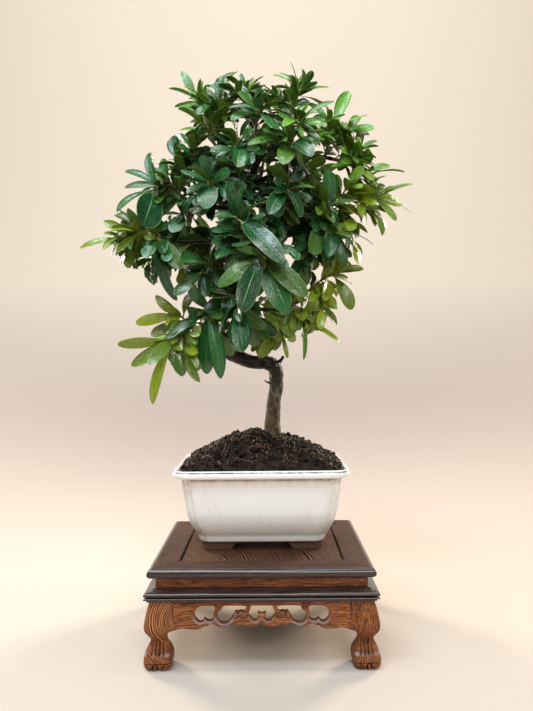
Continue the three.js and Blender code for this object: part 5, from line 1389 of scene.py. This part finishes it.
FINE = (
    np.array([0, 0.05, 0.1, 0.15, 0.22, 0.32, 0.44, 0.57, 0.69, 0.80, 0.89, 0.955, 0.99, 1.0]),
    np.array([-1, -0.7, -0.34, 0, 0.34, 0.7, 1]),
)
COARSE = (np.array([0, 0.12, 0.27, 0.45, 0.65, 0.83, 0.95, 1.0]), np.array([-1, -0.5, 0, 0.5, 1]))
STALK_SHARE = 0.1
# How wide the blades are beside the plain ones of the solids
LEAN = 0.76
# Finer leaves along a main and a side twig, at their ends, and on a shoot, and how many shoots each has
TWIG_EXTRA, FORK_EXTRA, END_LEAVES, SHOOT_LEAVES = 17, 10, 4, 8
TWIG_SHOOTS, FORK_SHOOTS = 4, 2


def crown_depth(points):
    """How deep in the crown's shade points stand: 0 at its skin, near 1 inside and behind."""
    from_heart = (points - CROWN_HEART) / CROWN_REACH
    return 0.85 * step(np.linalg.norm(from_heart, axis=1), 0.95, 0.45)


def blade_faces(ring_at, n_column):
    """Faces of one leaf and the material of each: 0 the upper skin, 1 the lower one, 2 the stalk."""
    n_ring = len(ring_at)

    def at(r, c, lower):
        return (lower * n_ring + r) * n_column + c

    faces, kinds = [], []
    for r in range(n_ring - 1):
        stalky = ring_at[r] < STALK_SHARE + 0.01
        for c in range(n_column - 1):
            faces.append([at(r + 1, c, 0), at(r + 1, c + 1, 0), at(r, c + 1, 0), at(r, c, 0)])
            faces.append([at(r, c, 1), at(r, c + 1, 1), at(r + 1, c + 1, 1), at(r + 1, c, 1)])
            kinds += [2, 2] if stalky else [0, 1]
        for c, turn in ((0, 1), (n_column - 1, -1)):
            faces.append([at(r, c, 0), at(r, c, 1), at(r + 1, c, 1), at(r + 1, c, 0)][::-turn])
            kinds.append(2 if stalky else 1)
    for r, turn in ((0, -1), (n_ring - 1, 1)):
        for c in range(n_column - 1):
            faces.append([at(r, c, 0), at(r, c + 1, 0), at(r, c + 1, 1), at(r, c, 1)][::turn])
            kinds.append(2 if r == 0 else 1)
    return faces, kinds


def blades(places, state, youth, wither, detail):
    """Points, faces and values of many leaves at once, each a thin closed shell with a stalk at its foot."""
    ring_at, column_at = detail
    foot, tip, along, normal, share = (np.array(x) for x in zip(*places))
    count = len(places)

    def each(low, high):
        return state.uniform(low, high, count)[:, None, None]

    length = np.linalg.norm(tip - foot, axis=1)[:, None, None]
    half = LEAN * share[:, None, None] * np.minimum(length, LONGEST_BLADE) / 2
    ring = ring_at[None, :, None]
    v = column_at[None, None, :]
    s = np.clip((ring - STALK_SHARE) / (1 - STALK_SHARE), 0, 1)
    # The stalk takes what a blade of the longest size leaves over
    stalk_end = np.maximum(STALK_SHARE, 1 - LONGEST_BLADE / length)
    u = np.where(ring <= STALK_SHARE, ring / STALK_SHARE * stalk_end, stalk_end + s * (1 - stalk_end))
    a, b = each(0.62, 0.95), each(0.42, 0.60)
    peak = (a / (a + b)) ** a * (b / (a + b)) ** b
    width = half * s**a * (1 - s) ** b / peak
    stalk = 0.55 + 0.25 * (1 - u)
    width = np.maximum(width, stalk * np.clip((1.02 - u) * 8, 0.12, 1))
    sideways = np.cross(along, normal)
    twist = each(-0.3, 0.3) + each(-0.5, 0.5) * u
    across = (sideways[:, None, :] * np.cos(twist) + normal[:, None, :] * np.sin(twist))[:, :, None, :]
    lifted = (normal[:, None, :] * np.cos(twist) - sideways[:, None, :] * np.sin(twist))[:, :, None, :]
    arch = (BLADE_ARCH + each(-0.07, 0.05)) * length * u * (1 - u) - each(0, 0.12) * length * u**3
    bend = each(-0.10, 0.10) * length * u * (1 - u)
    middle = (
        foot[:, None, :]
        + along[:, None, :] * (u * length)
        + normal[:, None, :] * arch
        + sideways[:, None, :] * bend
    )[:, :, None, :]
    fold = each(-0.12, 0.42) * half
    wave = each(0.0, 0.07) * half * np.sin(u * each(9, 17) + each(0, 6.28) + np.sign(v) * 0.8)
    blade_share = np.clip((ring - STALK_SHARE) * 6, 0, 1)
    rise = blade_share * (fold * np.abs(v) ** 1.4 + wave * v**2) * (width / half)
    groove = 0.16 * ridge(v, 0, 0.12) * blade_share
    thick = np.where(ring < STALK_SHARE + 0.03, 0.75, 0.28 + 0.42 * ridge(v, 0, 0.2) * (1 - 0.8 * u))
    thick = np.broadcast_to(thick, (count, len(ring_at), len(column_at)))
    skin = middle + across * (width * v)[..., None]
    top = skin + lifted * (rise - groove)[..., None]
    under = skin + lifted * (rise - thick * np.where(np.abs(v) == 1, 0.5, 1))[..., None]
    points = np.stack([top, under], 1).reshape(count, -1, 3)
    faces, kinds = blade_faces(ring_at, len(column_at))
    faces = (np.arange(count)[:, None, None] * points.shape[1] + np.array(faces)).reshape(-1, 4)
    shape = (count, 2, len(ring_at), len(column_at))

    def spread(value):
        """One value a leaf, given to all its points."""
        return np.broadcast_to(np.asarray(value, float)[:, None, None, None], shape).ravel()

    values = {
        "along": np.broadcast_to(ring[:, None], shape).ravel(),
        "across": np.broadcast_to(v[:, None], shape).ravel(),
        "youth": spread(youth),
        "tone": spread(state.rand(count)),
        "wither": spread(wither),
        "yellow": spread(step(tip[:, 2], 480, 400)),
        "depth": spread(crown_depth(tip)),
    }
    return points.reshape(-1, 3), faces.tolist(), kinds * count, values


def between(lines, spray, state):
    """Places of finer leaves, and the short shoots that bear some of them, all within the spray's reach."""
    places, shoots = [], []

    def grow(line, t, a, spread, reach, share):
        foot, way = leaf_way(line, t, a, spread)
        tip = foot + way * reach
        if np.linalg.norm(tip - CROWN_CENTRE) < limit:
            places.append(leaf_place(foot, tip, state.uniform(-0.6, 0.6), share))

    for which, line in enumerate(lines):
        # The leaves are larger low down
        larger = 1 + 0.2 * step(line[1][2], 500, 420)
        limit = max(np.linalg.norm(line[1] - CROWN_CENTRE), np.linalg.norm(line[0] - CROWN_CENTRE)) + 11
        extra, count = (FORK_EXTRA, FORK_SHOOTS) if which else (TWIG_EXTRA, TWIG_SHOOTS)
        turn = state.uniform(0, 6.28)
        for j in range(extra):
            t = 0.06 + 0.9 * (j + state.uniform(0.2, 0.8)) / extra
            spread = 1.3 - 0.5 * t + state.uniform(0, 0.3)
            grow(line, t, turn + GOLDEN_ANGLE * j, spread, spray[3] * state.uniform(0.6, 1.05) * larger,
                 state.uniform(0.38, 0.54) * larger)
        turn = state.uniform(0, 6.28)
        for j in range(END_LEAVES):
            grow(line, 0.985, turn + GOLDEN_ANGLE * j, state.uniform(0.3, 0.8), state.uniform(10, 19),
                 state.uniform(0.34, 0.46))
        for k in range(count):
            t = (k + state.uniform(0.3, 0.9)) / count * 0.9
            foot, way = leaf_way(line, t, turn + 2.1 * k + state.uniform(-0.5, 0.5), 1.2)
            shoot = foot, foot + way * state.uniform(12, 24)
            if np.linalg.norm(shoot[1] - CROWN_CENTRE) > limit - 6:
                continue
            shoots.append(shoot)
            for j in range(SHOOT_LEAVES):
                share = j / (SHOOT_LEAVES - 1)
                grow(shoot, 0.35 + 0.65 * share, 2.4 * j + turn, 1.4 - 0.9 * share,
                     state.uniform(14, 26) * larger, state.uniform(0.38, 0.54) * larger)
    return places, shoots


def droplets(group, state):
    """Beads of water on the foremost leaves, near their tips."""
    for foot, tip, along, normal, share in group:
        if foot[1] > -30 or np.linalg.norm(tip - foot) < 22 or state.rand() > 0.75:
            continue
        length = min(np.linalg.norm(tip - foot), LONGEST_BLADE)
        for _ in range(state.randint(2, 7)):
            back, aside = state.uniform(0.08, 0.5), state.uniform(-0.5, 0.5) * (state.rand() < 0.7)
            rise = BLADE_ARCH * length * (1 - back) * back
            at = tip - along * back * length + normal * (rise + 0.1)
            at = at + np.cross(along, normal) * aside * share * length / 2
            beads.append((at, normal, state.uniform(0.35, 0.85)))


def build_spray(name, spray, seed):
    """A spray: its twigs, the leaves that its solid has, and finer ones between them."""
    state = np.random.RandomState(seed)
    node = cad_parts["spray_" + name]
    tree = tree_of([vertex.co for vertex in node.data.vertices])
    heroes = len(spray[5])
    places, wither = [], []
    for i, trials in enumerate(leaf_trials(spray, seed)):
        place = built_place(trials, tree) or (trials[0] if i < heroes else None)
        if place is not None:
            places.append(place)
            wither.append((name, i) in WITHERED)
    lines = twig_lines(spray)
    extra, shoots = between(lines, spray, state)
    parts = Parts()
    for group, dead, detail in ((places, wither, FINE), (extra, [False] * len(extra), COARSE)):
        youth = np.clip(spray[6] + state.uniform(-0.3, 0.25, len(group)), 0, 1)
        points, faces, kinds, values = blades(group, state, youth, dead, detail)
        parts.add(points, faces, kinds, **values)
    for which, line in enumerate([*lines, *shoots]):
        t = np.linspace(0, 1, 14 if which < len(lines) else 6)
        centre = np.array([twig_point(*line, x) for x in t])
        centre += state.uniform(-0.25, 0.25, centre.shape) * (t > 0)[:, None] * (t < 1)[:, None]
        wide = 1.5 if which == 0 else 1.1 if which < len(lines) else 0.7
        radii = np.linspace(wide, min(wide, 0.75) * 0.9, len(t))
        parts.add(*loft(tube(centre, radii, 7)), 3, **{key: 0.0 for key in values})
    droplets(places, state)
    skins = [LEAF_TOP, LEAF_UNDER, PETIOLE, TWIG]
    parts.make("leaves_" + name, skins, ["spray_" + name], smooth=75)


def water_material():
    n = Nodes("water", roughness=0.02, specular_ior_level=0.8, coat_weight=1.0, coat_roughness=0.01)
    shimmer = n.noise(n.place(), 500.0, 1.0)
    return n.finish(n.mix(shimmer, (0.004, 0.030, 0.014), (0.02, 0.11, 0.05)))


WATER = water_material()
beads = []
for s, (name, spray) in enumerate(SPRAYS.items()):
    build_spray(name, spray, 101 + 7 * s)


def build_beads():
    """The beads of water as small flattened drops."""
    round_points, round_faces = ball()
    parts = Parts()
    for at, normal, size in beads:
        side = unit(np.cross(normal, [0.3, 0.2, 0.9]))
        frame_of = np.array([side, np.cross(normal, side), 0.55 * normal])
        parts.add(round_points * size @ frame_of + at, round_faces)
    parts.make("water_beads", [WATER])


build_beads()


# Stage, light and camera

# Where the floor starts to curve up, and the radius of the curve, in metres
CURVE_FROM, CURVE = 0.15, 2.2
FLOOR_SIDE, BACKDROP_TOP = 5, 5.0


def build_stage():
    """A pale floor that curves up into the backdrop."""
    arc = np.linspace(0, math.pi / 2, 33)
    y = np.concatenate([[-2.6, -1.2, -0.4], CURVE_FROM + CURVE * np.sin(arc), [CURVE_FROM + CURVE]])
    z = np.concatenate([[0, 0, 0], CURVE - CURVE * np.cos(arc), [BACKDROP_TOP]])
    points = [(x, a, b) for x in (-FLOOR_SIDE, FLOOR_SIDE) for a, b in zip(y, z)]
    count = len(y)
    faces = [(i, i + count, i + 1 + count, i + 1) for i in range(count - 1)]
    mesh = bpy.data.meshes.new("floor")
    mesh.from_pydata(points, [], faces)
    smoothed(mesh)
    n = Nodes("floor", roughness=0.9, specular_ior_level=0.1)
    paper = n.noise(n.place(), 900.0, 3.0)
    back, height = n.part(n.place(), "Y"), n.part(n.place(), "Z")
    # Painted light: the colour is a little darker towards the back of the floor and lighter up the wall,
    # evening out how the lamps light the sweep.
    base = n.mix(n.span(back, 0.15, 0.8), (0.446, 0.385, 0.335), (0.413, 0.335, 0.290))
    base = n.mix(n.span(height, 0.15, 0.55), base, (0.545, 0.472, 0.388))
    base = n.mix(n.span(paper, 0.0, 1.0, 0.0, 0.05), base, (0.60, 0.52, 0.43))
    mesh.materials.append(n.finish(base))
    floor = shown("floor", mesh)


def lamp(name, place, target, size, power, colour, spread=180):
    """A lamp of that size in metres, pointed at a target."""
    light = bpy.data.lights.new(name, "AREA")
    light.shape = "RECTANGLE"
    light.size, light.size_y = size
    light.energy = power
    light.color = colour
    light.spread = math.radians(spread)
    obj = shown(name, light)
    obj.location = place
    obj.rotation_euler = (Vector(target) - Vector(place)).to_track_quat("-Z", "Y").to_euler()


def build_light():
    lamp("overhead", (-0.5, -0.9, 1.9), (0, 0, 0.25), (1.5, 0.6), 43, (0.74, 0.89, 1.0))
    lamp("front", (0.7, -2.3, 1.5), (0, 0, 0.2), (1.4, 0.9), 36, (1.0, 0.99, 0.96))
    for name, x in (("rear_left", -1.5), ("rear_right", 1.5)):
        lamp(name, (x, 1.3, 0.9), (0, 0, 0.05), (0.6, 0.6), 3.5, (1.0, 0.88, 0.72), 40)
    lamp("backdrop", (0, 0.0, 3.2), (0, 2.3, 1.8), (3.8, 1.0), 132, (0.97, 0.99, 1.0))
    world = bpy.data.worlds.new("studio")
    bpy.context.scene.world = world
    world.use_nodes = True
    glow = world.node_tree.nodes["Background"].inputs
    glow["Color"].default_value = (1.0, 0.74, 0.50, 1)
    glow["Strength"].default_value = 0.15


FOCAL_PIXELS, IMAGE_LONG_SIDE, SENSOR = 600, 711, 36
CAMERA_AT = [8.2, -602, 269]
YAW, PITCH, ROLL = -0.004, 0.006, -0.009


def build_camera():
    """The camera of the photo, turned by small angles from looking straight back."""
    camera = bpy.data.cameras.new("camera")
    camera.sensor_width = SENSOR
    camera.lens = SENSOR * FOCAL_PIXELS / IMAGE_LONG_SIDE
    camera.clip_start, camera.clip_end = 0.02, 30
    forward = Vector((math.sin(YAW) * math.cos(PITCH), math.cos(YAW) * math.cos(PITCH), math.sin(PITCH)))
    level = Vector((math.cos(YAW), -math.sin(YAW), 0))
    upright = level.cross(forward)
    right = math.cos(ROLL) * level + math.sin(ROLL) * upright
    top = math.cos(ROLL) * upright - math.sin(ROLL) * level
    obj = shown("camera", camera)
    turn = Matrix((right, top, -forward)).transposed().to_4x4()
    obj.matrix_world = Matrix.Translation(Vector(metres(CAMERA_AT))) @ turn
    bpy.context.scene.camera = obj


build_stage()
build_light()
build_camera()
view = bpy.context.scene.view_settings
view.view_transform = "Standard"
view.look = "None"
bpy.context.scene.cycles.use_denoising = True
